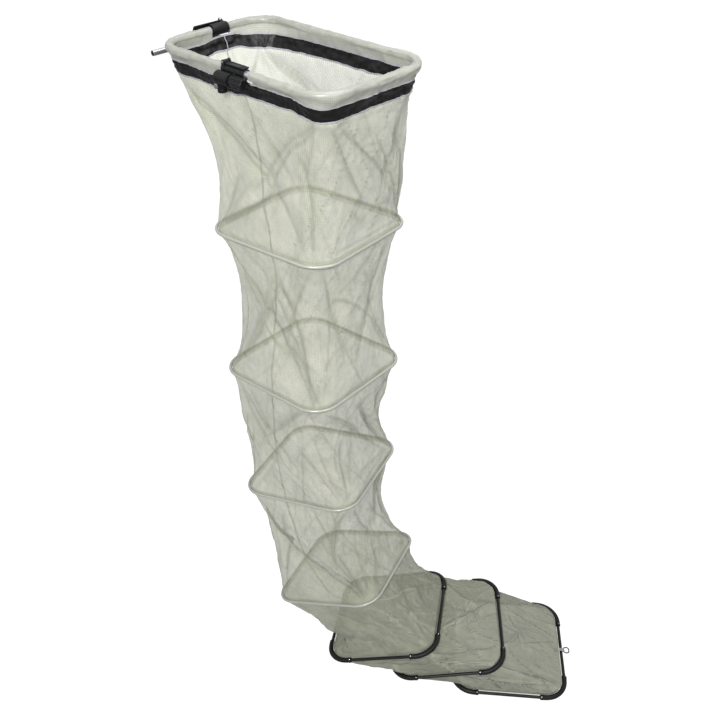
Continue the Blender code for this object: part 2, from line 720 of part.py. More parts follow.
def make_tail_hoop(hoop, pivot, finishes):
    """Four rails and four corner pieces, numbered from the side that faces the bank."""
    for side in range(4):
        turn = math.pi / 2 * side
        make_rail(f"{hoop.name}_rail_{side + 1}", turn, finishes["black_metal"], pivot)
        make_corner_piece(f"{hoop.name}_corner_{side + 1}", turn, finishes["plastic"], pivot)


def net_line(hoop):
    """The outline that the mesh follows inside a hoop."""
    inset = hoop.tube + NET_TO_HOOP + NET_WALL / 2
    side = HOOP_SIDE - 2 * inset
    return Outline(side, side, HOOP_CORNER_RADIUS - inset)


def net_row(line, pose, height, inset=None):
    """Points and outward normals round an outline, at this height in a hoop's own space."""
    points, normals = [], []
    for distance in line.loop(NET_SIDE_STEPS, CORNER_STEPS):
        point, normal = line.at(distance)
        if inset:
            point = point - normal * inset(distance, height)
        points.append(pose @ Vector((*point, height)))
        normals.append(pose.to_3x3() @ Vector((*normal, 0)))
    return points, normals


def corner_weights():
    """1 at the middle of each corner and less along the sides, for each point of the mesh."""
    repeat = NET_SIDE_STEPS + CORNER_STEPS
    weights = []
    for index in range(4 * repeat):
        away = (index - repeat / 2) % repeat
        away = min(away, repeat - away) / (repeat / 2)
        weights.append(1.0 - 0.65 * away)
    return weights


def normals_between(above, row, below):
    """The outward normal at each point of a row of mesh, from the rows beside it."""
    normals = []
    for index in range(len(row)):
        along = row[(index + 1) % len(row)] - row[index - 1]
        down = below[index] - above[index]
        normals.append(along.cross(-down).normalized())
    return normals


def make_net(name, top_rows, hoop, pivot, finish):
    """The mesh between one hoop and the next: a thin wall, drawn in between them."""
    pose = hoop.pose()
    line = net_line(hoop)
    low_rows = [net_row(line, pose, hoop.tube + 0.002), net_row(line, pose, GAP / 2)]
    upper, lower = top_rows[-1][0], low_rows[0][0]
    upper_middle = sum(upper, Vector()) / len(upper)
    lower_middle = sum(lower, Vector()) / len(lower)
    round_share = [distance / line.perimeter for distance in line.loop(NET_SIDE_STEPS, CORNER_STEPS)]
    between = []
    for step in range(1, hoop.rows):
        share = step / hoop.rows
        eased = 1.0 - (1.0 - share) ** hoop.power
        middle = upper_middle.lerp(lower_middle, share)
        drawn = math.sin(math.pi * share) ** 0.8
        row = []
        for index, weight in enumerate(corner_weights()):
            outwards = (upper[index] - upper_middle).lerp(lower[index] - lower_middle, eased)
            turns = FOLD_COUNT * round_share[index] + hoop.drift * share
            fold = outwards.normalized() * hoop.fold * math.cos(math.tau * turns)
            row.append(middle + outwards * (1.0 - hoop.waist * weight * drawn) + fold)
        between.append(row)
    chain = [upper, *between, lower]
    rows = list(top_rows)
    for above, row, below in zip(chain, chain[1:], chain[2:]):
        rows.append((row, normals_between(above, row, below)))
    rows += low_rows
    to_local = pivot.matrix_world.inverted()
    half = NET_WALL / 2
    sections = []
    for index in range(len(upper)):
        outside = [to_local @ (points[index] + normals[index] * half) for points, normals in rows]
        inside = [to_local @ (points[index] - normals[index] * half) for points, normals in rows]
        sections.append(outside + inside[::-1])
    return loft(name, sections, finish, pivot, wrap=True, thin=True)


def hoop_top_rows(hoop):
    """Where the mesh below a hoop starts: at its plane, then just under its tube."""
    line = net_line(hoop)
    pose = hoop.pose()
    return [net_row(line, pose, -GAP / 2), net_row(line, pose, -hoop.tube - 0.002)]


def frame_top_rows(height):
    """Where the mesh below the woven band starts."""
    pose = Matrix.Translation(FRAME_CENTRE)
    heights = (height, height - 0.008)
    return [net_row(FRAME_LINE, pose, each, drawn_in) for each in heights]


def make_base(hoop, pivot, finish):
    """The flat mesh that closes the tail, just under the last hoop's plane."""
    line = net_line(hoop)
    stops = line.loop(1, CORNER_STEPS)
    sections = []
    for height in (-GAP / 2, -GAP / 2 - BASE_WALL):
        sections.append([Vector((*line.at(distance)[0], height)) for distance in stops])
    loft("base_panel", sections, finish, pivot)


def make_peg_loop(pivot, finishes):
    """The tab over the last rail and the wire loop that hangs in its eye."""
    eye_x = HOOP_SIDE / 2 + RAIL_RADIUS + TAB_EYE_RADIUS + GAP
    top = RAIL_RADIUS + GAP + TAB_THICKNESS
    eye_z = top - TAB_EYE_RADIUS
    place = Matrix.Translation((eye_x, 0, eye_z))
    eye_place = make_empty("peg_loop_pivot", pivot, place)
    inner = LOOP_WIRE_RADIUS + RUNNING_GAP
    half = TAB_HALF_WIDTH
    eye = [(-half, inner), (-half, TAB_EYE_RADIUS), (half, TAB_EYE_RADIUS), (half, inner)]
    tab = lathe("peg_tab", eye, finishes["tape"], eye_place, "Y", 16)
    strap_low = (HOOP_SIDE / 2 - eye_x - TAB_REACH_IN, -half + 0.0002, TAB_EYE_RADIUS - TAB_THICKNESS)
    strap_high = (-0.0005, half - 0.0002, TAB_EYE_RADIUS - 0.0001)
    combine(tab, block("peg_tab_strap", strap_low, strap_high, None, eye_place), "UNION")
    line = Outline(LOOP_REACH, LOOP_WIDTH, LOOP_CORNER_RADIUS)
    profile = circle(LOOP_WIRE_RADIUS, 6)
    shift = Vector((LOOP_REACH / 2, 0, 0))
    sections = []
    for distance in line.loop(1, 4):
        sections.append([point + shift for point in section_at(line, distance, profile)])
    loft("peg_loop", sections, finishes["steel"], eye_place, wrap=True)


def make_finishes():
    """Every material, by the name that the pieces ask for."""
    return {
        "aluminium": make_finish("bare_aluminium", (0.62, 0.63, 0.64), 0.32, 0.9),
        "pale_metal": make_finish("pale_coated_aluminium", (0.60, 0.61, 0.56), 0.30, 0.4),
        "black_metal": make_finish("black_coated_aluminium", (0.012, 0.013, 0.014), 0.35, 0.3),
        "plastic": make_finish("black_moulded_plastic", (0.018, 0.019, 0.020), 0.45),
        "steel": make_finish("plated_steel", (0.55, 0.56, 0.57), 0.28, 0.95),
        "mesh": make_finish("knitted_mesh", (0.46, 0.47, 0.38), 0.85),
        "webbing": make_finish("woven_black_band", (0.012, 0.012, 0.013), 0.70),
        "tape": make_finish("binding_tape", (0.44, 0.43, 0.47), 0.80),
    }


def main():
    """Builds the keepnet, piece by piece from the arm down to the peg loop."""
    clear_scene()
    finishes = make_finishes()
    root = make_empty("keepnet", None, Matrix.Identity(4))
    make_arm(root, finishes)

    frame_place = make_empty("top_frame_centre", root, Matrix.Translation(FRAME_CENTRE))
    net_start = make_top_frame(frame_place, finishes)

    front_place = Matrix.Translation((0, -FRAME_WIDTH / 2, 0))
    make_front_clamp(make_empty("front_clamp_axis", frame_place, front_place), finishes)
    rear_spot = Matrix.Translation((-FRAME_LENGTH / 2, REAR_ALONG, 0))
    facing = Matrix.Rotation(-math.pi / 2, 4, "Z") @ Matrix.Rotation(REAR_ROLL, 4, "X")
    make_rear_clamp(make_empty("rear_clamp_axis", frame_place, rear_spot @ facing), finishes)

    pivots = {hoop.name: make_empty(hoop.name + "_centre", root, hoop.pose()) for hoop in HOOPS}
    bpy.context.view_layer.update()
    top_rows = frame_top_rows(net_start)
    for number, hoop in enumerate(HOOPS, start=1):
        pivot = pivots[hoop.name]
        if hoop.tube == LIGHT_TUBE_RADIUS:
            make_light_hoop(hoop, pivot, finishes)
        else:
            make_tail_hoop(hoop, pivot, finishes)
        make_net(f"net_{number}", top_rows, hoop, pivot, finishes["mesh"])
        top_rows = hoop_top_rows(hoop)
    last = HOOPS[-1]
    make_base(last, pivots[last.name], finishes["mesh"])
    make_peg_loop(pivots[last.name], finishes)
    bpy.context.view_layer.update()


main()
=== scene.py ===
"""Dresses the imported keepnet: cloth, tubes, clamps and tail frames, with a floor, lamps and a camera.

Every size is in metres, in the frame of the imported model: +Z is up, and the arm's outer end is the origin.
"""

import logging
import math
import random
from collections.abc import Sequence
from dataclasses import dataclass, field
from enum import Enum

import bmesh
import bpy
import numpy as np
from mathutils import Euler, Matrix, Vector, noise

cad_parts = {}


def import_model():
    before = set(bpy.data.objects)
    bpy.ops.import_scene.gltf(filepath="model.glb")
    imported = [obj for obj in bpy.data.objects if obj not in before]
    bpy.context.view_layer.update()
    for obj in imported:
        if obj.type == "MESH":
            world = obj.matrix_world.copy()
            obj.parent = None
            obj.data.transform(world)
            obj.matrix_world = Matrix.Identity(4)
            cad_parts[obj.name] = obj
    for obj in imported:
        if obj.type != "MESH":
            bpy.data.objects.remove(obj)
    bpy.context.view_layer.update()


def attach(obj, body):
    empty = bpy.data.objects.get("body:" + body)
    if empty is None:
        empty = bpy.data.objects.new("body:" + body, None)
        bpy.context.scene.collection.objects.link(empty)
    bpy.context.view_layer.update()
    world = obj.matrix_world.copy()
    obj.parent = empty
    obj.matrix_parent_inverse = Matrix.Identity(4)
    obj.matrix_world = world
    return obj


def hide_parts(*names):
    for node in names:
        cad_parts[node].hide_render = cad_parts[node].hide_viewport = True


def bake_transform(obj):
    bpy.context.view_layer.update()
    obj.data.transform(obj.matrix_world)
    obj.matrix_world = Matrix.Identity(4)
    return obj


LOG = logging.getLogger("keepnet")
MATH, NOISE, PLACE = "ShaderNodeMath", "ShaderNodeTexNoise", "ShaderNodeTexCoord"

Piece = bpy.types.Object
Mesh = bpy.types.Mesh
Tree = bpy.types.NodeTree
Node = bpy.types.Node
Socket = bpy.types.NodeSocket

FRAME_CENTRE = Vector((0.355, 0.195, 0.030))
FLOOR_HEIGHT = -2.3757
GAP = 0.0003
TUBE_BORE = 0.010 + GAP
SMOOTH_ANGLE = math.radians(38)
CAMERA_HEADING = math.radians(43.27)
PICTURE_RIGHT = np.array((math.cos(CAMERA_HEADING), math.sin(CAMERA_HEADING), 0.0))


class Slot(Enum):
    """The record's material slots."""

    BARE = "bare_aluminium"
    PALE = "pale_coated_aluminium"
    BLACK = "black_coated_aluminium"
    PLASTIC = "black_moulded_plastic"
    STEEL = "plated_steel"
    MESH = "knitted_mesh"
    WEBBING = "woven_black_band"
    TAPE = "binding_tape"


class Axis(Enum):
    """The axis that a turned piece goes round."""

    X = "X"
    Y = "Y"


class Side(Enum):
    """The two clamps."""

    FRONT = "front"
    REAR = "rear"


# Materials


def srgb(code: str) -> tuple[float, float, float, float]:
    """Turns an sRGB hex value into a linear colour.

    Args:
        code: Six hex digits.

    Returns:
        Red, green, blue and 1.
    """
    channels = []
    for start in (0, 2, 4):
        value = int(code[start : start + 2], 16) / 255
        channels.append(value / 12.92 if value <= 0.04045 else ((value + 0.055) / 1.055) ** 2.4)
    return (channels[0], channels[1], channels[2], 1.0)


def add_node(
    tree: Tree, kind: str, inputs: dict[str | int, object] | None = None, **settings: object
) -> Node:
    """Adds a node with its settings and links.

    Args:
        tree: The tree that it goes into.
        kind: The node's type.
        inputs: For each input, by name or number, a value or the output that feeds it.
        settings: The node's own settings.

    Returns:
        The node.
    """
    node = tree.nodes.new(kind)
    for key, value in settings.items():
        setattr(node, key, value)
    for key, value in (inputs or {}).items():
        if isinstance(value, Socket):
            tree.links.new(value, node.inputs[key])
        else:
            node.inputs[key].default_value = value
    return node


@dataclass(frozen=True)
class Finish:
    """A surface with a slightly uneven colour and a fine bump; its kinds add what makes them so."""

    name: str
    colour: str
    shade: str
    roughness: float
    metallic: float = 0.0
    coat: float = 0.0
    grain: float = 0.0010
    bump: float = 0.00002
    patch: float = 0.030
    spread: float = 0.06
    gloss: float = 0.5

    def material(self) -> bpy.types.Material:
        """Gives the Blender material, made at its first use.

        Returns:
            The material.
        """
        found = bpy.data.materials.get(self.name)
        if found:
            return found
        material = bpy.data.materials.new(self.name)
        material.use_nodes = True
        self.dress(material.node_tree, material.node_tree.nodes["Principled BSDF"])
        return material

    def pattern(self, tree: Tree) -> tuple[Socket, Socket]:
        """Adds the nodes of the pattern.

        Args:
            tree: The material's tree.

        Returns:
            Where the second colour shows, and the height of the surface, both from 0 to 1.
        """
        place = add_node(tree, PLACE).outputs["Object"]
        mottle = add_node(tree, NOISE, {"Vector": place, "Scale": 1 / self.patch, "Detail": 3.0})
        grain = add_node(tree, NOISE, {"Vector": place, "Scale": 1 / self.grain, "Detail": 2.0})
        return mottle.outputs["Fac"], grain.outputs["Fac"]

    def dress(self, tree: Tree, shader: Node) -> None:
        """Links the pattern to the shader's colour, roughness and bump.

        Args:
            tree: The material's tree.
            shader: Its shader.
        """
        shade, height = self.pattern(tree)
        colours = {0: shade, 6: srgb(self.colour), 7: srgb(self.shade)}
        mix = add_node(tree, "ShaderNodeMix", colours, data_type="RGBA")
        tree.links.new(mix.outputs[2], shader.inputs["Base Color"])
        low, high = self.roughness - self.spread, self.roughness + self.spread
        rough = add_node(tree, "ShaderNodeMapRange", {"Value": shade, "To Min": low, "To Max": high})
        tree.links.new(rough.outputs["Result"], shader.inputs["Roughness"])
        bump = add_node(tree, "ShaderNodeBump", {"Height": height, "Distance": self.bump, "Strength": 1.0})
        tree.links.new(bump.outputs["Normal"], shader.inputs["Normal"])
        levels = {"Metallic": self.metallic, "Coat Weight": self.coat, "Specular IOR Level": self.gloss}
        for socket, level in {**levels, "Coat Roughness": 0.15}.items():
            shader.inputs[socket].default_value = level


@dataclass(frozen=True)
class DrawnMetal(Finish):
    """Drawn tube: die lines run along it as long thin streaks, which a stretched noise gives."""

    stretch: tuple[float, float, float] = (0.06, 1.0, 1.0)

    def pattern(self, tree: Tree) -> tuple[Socket, Socket]:
        """Adds streaks that run along the tube.

        Args:
            tree: The material's tree.

        Returns:
            The streaks, as the second colour and as the height.
        """
        place = add_node(tree, PLACE).outputs["Object"]
        along = add_node(tree, "ShaderNodeMapping", {"Vector": place, "Scale": self.stretch})
        grain = {"Vector": along.outputs[0], "Scale": 1 / self.grain, "Detail": 3.0}
        lines = add_node(tree, NOISE, grain).outputs["Fac"]
        return lines, lines


@dataclass(frozen=True)
class Cloth(Finish):
    """Thread on the piece's own UV map, which is in metres: two sets of threads, and holes between them."""

    pitch: float = 0.006
    across: float = 0.006
    thin: float = 1.0
    dense: float = 1.0
    sheen: float = 0.2
    folds: float = 0.0
    streaks: float = 0.0
    crumple: float = 0.0
    ridge: float = 1.5

    def dress(self, tree: Tree, shader: Node) -> None:
        """Adds the sheen of loose fibres, a crumpled relief, and the holes where the cloth is open.

        Args:
            tree: The material's tree.
            shader: Its shader.
        """
        super().dress(tree, shader)
        shader.inputs["Sheen Weight"].default_value = self.sheen
        shader.inputs["Sheen Roughness"].default_value = 0.5
        if self.crumple:
            place = add_node(tree, PLACE).outputs["Object"]
            wrinkles = {"Vector": place, "Scale": 22.0, "Detail": 4.0}
            crumpled = add_node(tree, NOISE, wrinkles, noise_type="RIDGED_MULTIFRACTAL")
            ridges = {0: self.fold(tree), 1: self.ridge, 2: crumpled.outputs["Fac"]}
            height = add_node(tree, MATH, ridges, operation="MULTIPLY_ADD").outputs[0]
            raised = {"Height": height, "Distance": self.crumple, "Strength": 1.0}
            relief = add_node(tree, "ShaderNodeBump", raised)
            threads = shader.inputs["Normal"].links[0].from_node
            tree.links.new(relief.outputs["Normal"], threads.inputs["Normal"])
        if self.dense < 1.0:
            low, high = self.thin - self.streaks / 2, self.dense - self.streaks / 2
            span = {"From Min": 0.15, "From Max": 0.85, "To Min": low, "To Max": high}
            cover = add_node(tree, "ShaderNodeMapRange", {"Value": self.threads(tree), **span}).outputs[0]
            for pattern, amount in ((self.streak(tree), self.streaks), (self.fold(tree), self.folds)):
                closer = {0: pattern, 1: amount, 2: cover}
                cover = add_node(tree, MATH, closer, operation="MULTIPLY_ADD", use_clamp=True).outputs[0]
            tree.links.new(cover, shader.inputs["Alpha"])

    def fold(self, tree: Tree) -> Socket:
        """Reads how sharply the cloth is folded here, which its own mesh says; the finish shows it as denser
        cloth and painted shade (painted highlights in the gathered and heaped mesh).
        """
        return add_node(tree, "ShaderNodeAttribute", attribute_name="fold").outputs["Fac"]

    def streak(self, tree: Tree) -> Socket:
        """Adds streaks down the cloth where the knit is pulled a little closer.

        Args:
            tree: The material's tree.

        Returns:
            The streaks, from 0 to 1.
        """
        place = add_node(tree, PLACE).outputs["UV"]
        drawn = add_node(tree, "ShaderNodeMapping", {"Vector": place, "Scale": (56.0, 20.0, 1.0)})
        pulled = {"Vector": drawn.outputs[0], "Scale": 1.0, "Detail": 4.0, "Roughness": 0.68}
        return add_node(tree, NOISE, pulled).outputs["Fac"]

    def threads(self, tree: Tree) -> Socket:
        """Adds the threads of both sets.

        Args:
            tree: The material's tree.

        Returns:
            1 on the middle of a thread, and 0 between them.
        """
        place = add_node(tree, PLACE).outputs["UV"]
        split = add_node(tree, "ShaderNodeSeparateXYZ", {"Vector": place}).outputs
        waves = {}
        for number, pitch in enumerate((self.across, self.pitch)):
            turn = add_node(tree, MATH, {0: split[number], 1: math.tau / pitch}, operation="MULTIPLY")
            waves[number] = add_node(tree, MATH, {0: turn.outputs[0]}, operation="COSINE").outputs[0]
        higher = add_node(tree, MATH, waves, operation="MAXIMUM").outputs[0]
        scaled = {0: higher, 1: 0.5, 2: 0.5}
        return add_node(tree, MATH, scaled, operation="MULTIPLY_ADD").outputs[0]

    def pattern(self, tree: Tree) -> tuple[Socket, Socket]:
        """Adds threads, and a slow random change of tone, to which the fold mark adds painted shade along the
        folds, and painted highlights on the ridges where the second colour is the paler one.

        Args:
            tree: The material's tree.

        Returns:
            Where the second colour shows, and the height of the threads.
        """
        place = add_node(tree, PLACE).outputs["Object"]
        patches = {"Vector": place, "Scale": 1 / self.patch, "Detail": 4.0}
        mottle = add_node(tree, NOISE, patches).outputs["Fac"]
        # The fold mark pushes the colour towards the second one: painted shade along the folds (painted
        # highlights on the ridges in the gathered and heaped mesh).
        mottle_and_fold_shade = add_node(tree, MATH, {0: mottle, 1: self.fold(tree)}, operation="ADD", use_clamp=True)
        return mottle_and_fold_shade.outputs[0], self.threads(tree)


# Knitted polyester mesh: matt pale khaki yarn, and nearly half of it holes, so that white shows through it.
# Its real openings are about 2 mm, which is too fine for the picture, so they are drawn 5 mm apart.
# Its second, darker colour is also laid along the fold marks as painted shade.
NET_MESH = Cloth(
    "knitted_polyester_mesh", "D2D3BF", "969984", 0.88, bump=0.0003, patch=0.09,
    pitch=0.005, across=0.005, thin=0.34, dense=0.62, folds=0.30, streaks=0.38, crumple=0.004,
)
# The same mesh where it begins to gather: two layers lie close, so it is a little denser; its colour is
# darker as painted shade, and paler along its fold ridges as a painted highlight.
SHADED_GATHERED_MESH = Cloth(
    "painted_shade_gathered_mesh", "818473", "A9AC98", 0.90, bump=0.0003, patch=0.07,
    pitch=0.005, across=0.005, thin=0.47, dense=0.77, folds=0.26, streaks=0.30, crumple=0.004,
)
# The same mesh where it lies in a heap at the tail: closer, darker as painted shade, and paler along its
# ridges as a painted highlight.
SHADED_TAIL_MESH = Cloth(
    "painted_shade_heaped_mesh", "7C7F70", "9FA290", 0.90, bump=0.0004, patch=0.06,
    pitch=0.005, across=0.005, thin=0.78, dense=0.95, folds=0.10, streaks=0.10, crumple=0.009,
)
# The same mesh folded double over the tube: closer, and paler where the tube backs it; its second, darker
# colour is laid along its folds and on its hanging sides as painted shade.
SLEEVE_MESH = Cloth(
    "folded_polyester_mesh", "BDBEB4", "A0A196", 0.85, bump=0.0003, patch=0.03,
    pitch=0.004, across=0.004, thin=0.50, dense=0.76, folds=0.20, streaks=0.22,
)
# Woven polypropylene ribbon: black, with a soft shine on its close ribs. 1.2 mm ribs are drawn at 3 mm.
RIBBON = Cloth(
    "woven_polypropylene_ribbon", "040405", "09090A", 0.34, bump=0.0002,
    pitch=0.003, across=0.003, sheen=0.0, gloss=0.30,
)
# Bias binding of woven polyester: lilac grey, with a slight satin shine.
BINDING = Cloth("woven_polyester_binding", "9E9DA8", "85858F", 0.70, bump=0.0002, pitch=0.003, across=0.003)
# Seam tape of the same polyester in grey green: flat and matt.
SEAM_TAPE = Cloth(
    "woven_seam_tape", "AFB2A1", "A0A391", 0.80, bump=0.0002, pitch=0.003, across=0.003, sheen=0.1
)
# Spun polyester thread: pale, round and matt.
THREAD = Finish("spun_polyester_thread", "C9CABE", "B4B6A8", 0.75, grain=0.0006, bump=0.00005)
# Drawn aluminium tube, left bare: a soft grey shine with faint lines along it.
BARE_TUBE = DrawnMetal("drawn_aluminium_tube", "C9CBCC", "B9BBBD", 0.34, metallic=0.85, grain=0.004)
ARM_TUBE = DrawnMetal(
    "drawn_aluminium_arm", "B4B6B7", "A3A5A6", 0.36, metallic=0.85, grain=0.004, stretch=(1.0, 0.06, 1.0)
)
# Powder-coated aluminium, pale grey with a touch of green: a smooth satin skin with faint orange peel.
PALE_COAT = Finish("pale_powder_coat", "B2B4AB", "A4A69C", 0.32, metallic=0.15, coat=0.35, grain=0.003)
# Powder-coated aluminium in black, scuffed a little: satin, and greyer in patches.
BLACK_COAT = Finish("black_powder_coat", "070708", "0E0F0F", 0.36, grain=0.002, gloss=0.28)
# Glass-filled nylon, moulded in a spark-eroded tool: black, with a fine matt grain.
NYLON = Finish("moulded_black_nylon", "070708", "0D0E0F", 0.46, grain=0.0009, bump=0.00006, gloss=0.22)
# Zinc-plated steel, bright: a mirror that the plating clouds a little.
STEEL = Finish("zinc_plated_steel", "C8C9CA", "ADAEB0", 0.26, metallic=1.0, grain=0.002)
# Stainless steel wire, darkened: the loop for a peg.
DARK_STEEL = Finish("dark_steel_wire", "121314", "0C0D0E", 0.42, grain=0.002, gloss=0.2)


# Shapes


@dataclass(frozen=True)
class Outline:
    """A rounded oblong walked anticlockwise from the middle of its -Y side."""

    length: float
    width: float
    radius: float

    def runs(self) -> tuple[tuple[float, Vector | None, Vector | None, float], ...]:
        """Each stretch as its length and, on a bend, the bend's centre and first angle in degrees.

        Returns:
            The stretches, in order.
        """
        x, y = self.length / 2 - self.radius, self.width / 2 - self.radius
        bend = self.bend
        return (
            (x, None, Vector((0, -self.width / 2)), 0),
            (bend, Vector((x, -y)), None, -90),
            (2 * y, None, Vector((self.length / 2, -y)), 90),
            (bend, Vector((x, y)), None, 0),
            (2 * x, None, Vector((x, self.width / 2)), 180),
            (bend, Vector((-x, y)), None, 90),
            (2 * y, None, Vector((-self.length / 2, y)), 270),
            (bend, Vector((-x, -y)), None, 180),
            (x, None, Vector((-x, -self.width / 2)), 0),
        )

    @property
    def perimeter(self) -> float:
        """The way round."""
        return sum(run[0] for run in self.runs())

    @property
    def bend(self) -> float:
        """The length of a bend."""
        return math.pi / 2 * self.radius

    @property
    def straights(self) -> tuple[float, float]:
        """The straight runs, along X and along Y."""
        return self.length - 2 * self.radius, self.width - 2 * self.radius

    def at(self, distance: float) -> tuple[Vector, Vector]:
        """The point this far along, and the outward normal there.

        Args:
            distance: How far round it is.

        Returns:
            The point and the normal.
        """
        left = distance % self.perimeter
        for length, centre, start, degrees in self.runs():
            if left <= length + 1e-9:
                break
            left -= length
        if centre is None:
            heading = Vector((math.cos(math.radians(degrees)), math.sin(math.radians(degrees))))
            return start + heading * left, Vector((heading.y, -heading.x))
        angle = math.radians(degrees) + left / self.radius
        normal = Vector((math.cos(angle), math.sin(angle)))
        return centre + normal * self.radius, normal

    def stations(self, side_steps: int, bend_steps: int) -> list[float]:
        """Distances all the way round, with this many steps to a side and to a bend.

        Args:
            side_steps: Steps to a straight side, an even number.
            bend_steps: Steps to a bend.

        Returns:
            The distances, without the last, which is the first again.
        """
        distances, done = [], 0.0
        for number, (length, centre, _, _) in enumerate(self.runs()):
            steps = bend_steps if centre is not None else side_steps
            if number in (0, 8):
                steps = side_steps // 2
            distances += [done + length * step / steps for step in range(steps)]
            done += length
        return distances

    def evenly(self, start: float, end: float, spacing: float) -> list[float]:
        """Distances from start to end, about this far apart."""
        steps = max(1, round((end - start) / spacing))
        return [start + (end - start) * step / steps for step in range(steps + 1)]


FRAME_LINE = Outline(0.650, 0.390, 0.080)
HOOP_LINE = Outline(0.450, 0.450, 0.085)


def smooth(mesh: Mesh) -> None:
    """Shades a mesh smooth, but for its edges."""
    mesh.shade_smooth()
    mesh.set_sharp_from_angle(angle=SMOOTH_ANGLE)


def linked(name: str, data: bpy.types.ID) -> Piece:
    """Makes an object of a mesh, a curve, a lamp or a camera, and puts it in the scene.

    Args:
        name: Its name.
        data: What it shows.

    Returns:
        The object.
    """
    made = bpy.data.objects.new(name, data)
    bpy.context.scene.collection.objects.link(made)
    return made


def scrap(*helpers: Piece) -> None:
    """Removes objects that were only needed on the way."""
    for helper in helpers:
        bpy.data.objects.remove(helper, do_unlink=True)


def new_piece(
    name: str,
    points: Sequence[Sequence[float]],
    faces: Sequence[Sequence[int]],
    uvs: Sequence[Sequence[tuple[float, float]]] | None = None,
    outward: bool = True,
) -> Piece:
    """Makes a mesh object at the origin.

    Args:
        name: Its name.
        points: Its vertices.
        faces: Its faces, as numbers of vertices.
        uvs: For each face, a UV for each corner.
        outward: Whether its normals are worked out afresh.

    Returns:
        The object, smooth but for its edges.
    """
    mesh = bpy.data.meshes.new(name)
    mesh.from_pydata([tuple(p) for p in points], [], [tuple(f) for f in faces])
    if uvs:
        layer = mesh.uv_layers.new(name="UVMap")
        layer.data.foreach_set("uv", [value for face in uvs for uv in face for value in uv])
    if outward:
        face_outwards(mesh)
    smooth(mesh)
    return linked(name, mesh)


def grid_faces(
    rows: int, stations: int, wrap_down: bool = False, wrap_round: bool = True
) -> list[tuple[int, int, int, int]]:
    """The faces of a grid of points, all facing out.

    Args:
        rows: How many rows it has.
        stations: How many points there are to a row.
        wrap_down: Whether the last row joins the first.
        wrap_round: Whether the last station joins the first.

    Returns:
        The four points of each face.
    """
    faces = []
    for row in range(rows if wrap_down else rows - 1):
        upper, lower = row * stations, (row + 1) % rows * stations
        for here in range(stations if wrap_round else stations - 1):
            after = (here + 1) % stations
            faces.append((upper + here, lower + here, lower + after, upper + after))
    return faces


def woven(
    name: str,
    rows: Sequence[Sequence[Sequence[float]]],
    across: Sequence[float],
    down: Sequence[float],
    outward: bool = False,
) -> Piece:
    """Makes a sheet through rows of points, with UVs in metres.

    Args:
        name: The piece's name.
        rows: The points.
        across: How far round each station is, and one more distance where the stations close.
        down: How far down each row is, and one more distance where the rows close.
        outward: Whether its normals are worked out afresh.

    Returns:
        The sheet.
    """
    count, stations = len(rows), len(rows[0])
    faces = grid_faces(count, stations, len(down) > count, len(across) > stations)
    uvs = []
    for top, low in zip(down, down[1:]):
        for left, right in zip(across, across[1:]):
            uvs.append(((left, top), (left, low), (right, low), (right, top)))
    return new_piece(name, [point for row in rows for point in row], faces, uvs, outward)


def face_outwards(mesh: Mesh) -> None:
    """Turns every face of a closed mesh outwards.

    Args:
        mesh: The mesh.
    """
    shape = bmesh.new()
    shape.from_mesh(mesh)
    bmesh.ops.recalc_face_normals(shape, faces=shape.faces)
    shape.to_mesh(mesh)
    shape.free()


def mark_folds(piece: Piece, fold_density_and_shade: np.ndarray) -> None:
    """Writes how sharply a piece is folded at each vertex, which its finish reads as denser cloth and as
    painted shade along the folds (painted highlights on the ridges of the gathered and heaped mesh).
    """
    piece.data.attributes.new("fold", "FLOAT", "POINT").data.foreach_set("value", fold_density_and_shade.ravel())


def lofted(name: str, sections: Sequence[Sequence[Vector]], wrap: bool = False) -> Piece:
    """Makes a surface through loops of equally many points.

    Args:
        name: The piece's name.
        sections: The loops.
        wrap: Whether the last loop joins the first; if not, both ends are closed.

    Returns:
        The piece.
    """
    count, loops = len(sections[0]), len(sections)
    faces = grid_faces(loops, count, wrap)
    if not wrap:
        faces += [tuple(range(count)), tuple(range((loops - 1) * count, loops * count))]
    return new_piece(name, [point for section in sections for point in section], faces)


def ring_points(radius: float, steps: int, start: float = 0.0) -> list[Vector]:
    """Points of a circle in a plane, anticlockwise."""
    angles = (start + math.tau * step / steps for step in range(steps))
    return [Vector((radius * math.cos(a), radius * math.sin(a))) for a in angles]


def turned(
    name: str,
    profile: Sequence[tuple[float, float]],
    axis: Axis = Axis.X,
    steps: int = 56,
    closed: bool = True,
) -> Piece:
    """Turns a profile of (along, radius) points round an axis through the origin.

    Args:
        name: The piece's name.
        profile: The points; with closed false they run from axis to axis.
        axis: What it turns round.
        steps: Steps to the circle.
        closed: Whether the profile is a loop, as of a collar.

    Returns:
        The piece.
    """
    sections = []
    for along, radius in profile:
        ring = ring_points(max(radius, 1e-6), steps)
        if axis is Axis.X:
            sections.append([Vector((along, p.x, p.y)) for p in ring])
        else:
            sections.append([Vector((p.y, along, p.x)) for p in ring])
    return lofted(name, sections, wrap=closed)


def slab(name: str, low: Sequence[float], high: Sequence[float]) -> Piece:
    """A block between two corners, which goes into a moulding.

    Args:
        name: Its name.
        low: The lower corner.
        high: The upper corner.

    Returns:
        The block.
    """
    across, along, up = zip(low, high)
    corners = [Vector((x, y, z)) for x in across for y in along for z in up]
    faces = [(0, 1, 3, 2), (4, 6, 7, 5), (0, 4, 5, 1), (2, 3, 7, 6), (0, 2, 6, 4), (1, 5, 7, 3)]
    return new_piece(name, corners, faces)


def plain_mesh(piece: Piece) -> None:
    """Turns what a piece's modifiers show into its own mesh, and takes them off.

    Args:
        piece: The piece.
    """
    bpy.context.view_layer.update()
    graph = bpy.context.evaluated_depsgraph_get()
    mesh = bpy.data.meshes.new_from_object(piece.evaluated_get(graph), depsgraph=graph)
    piece.modifiers.clear()
    piece.data = mesh


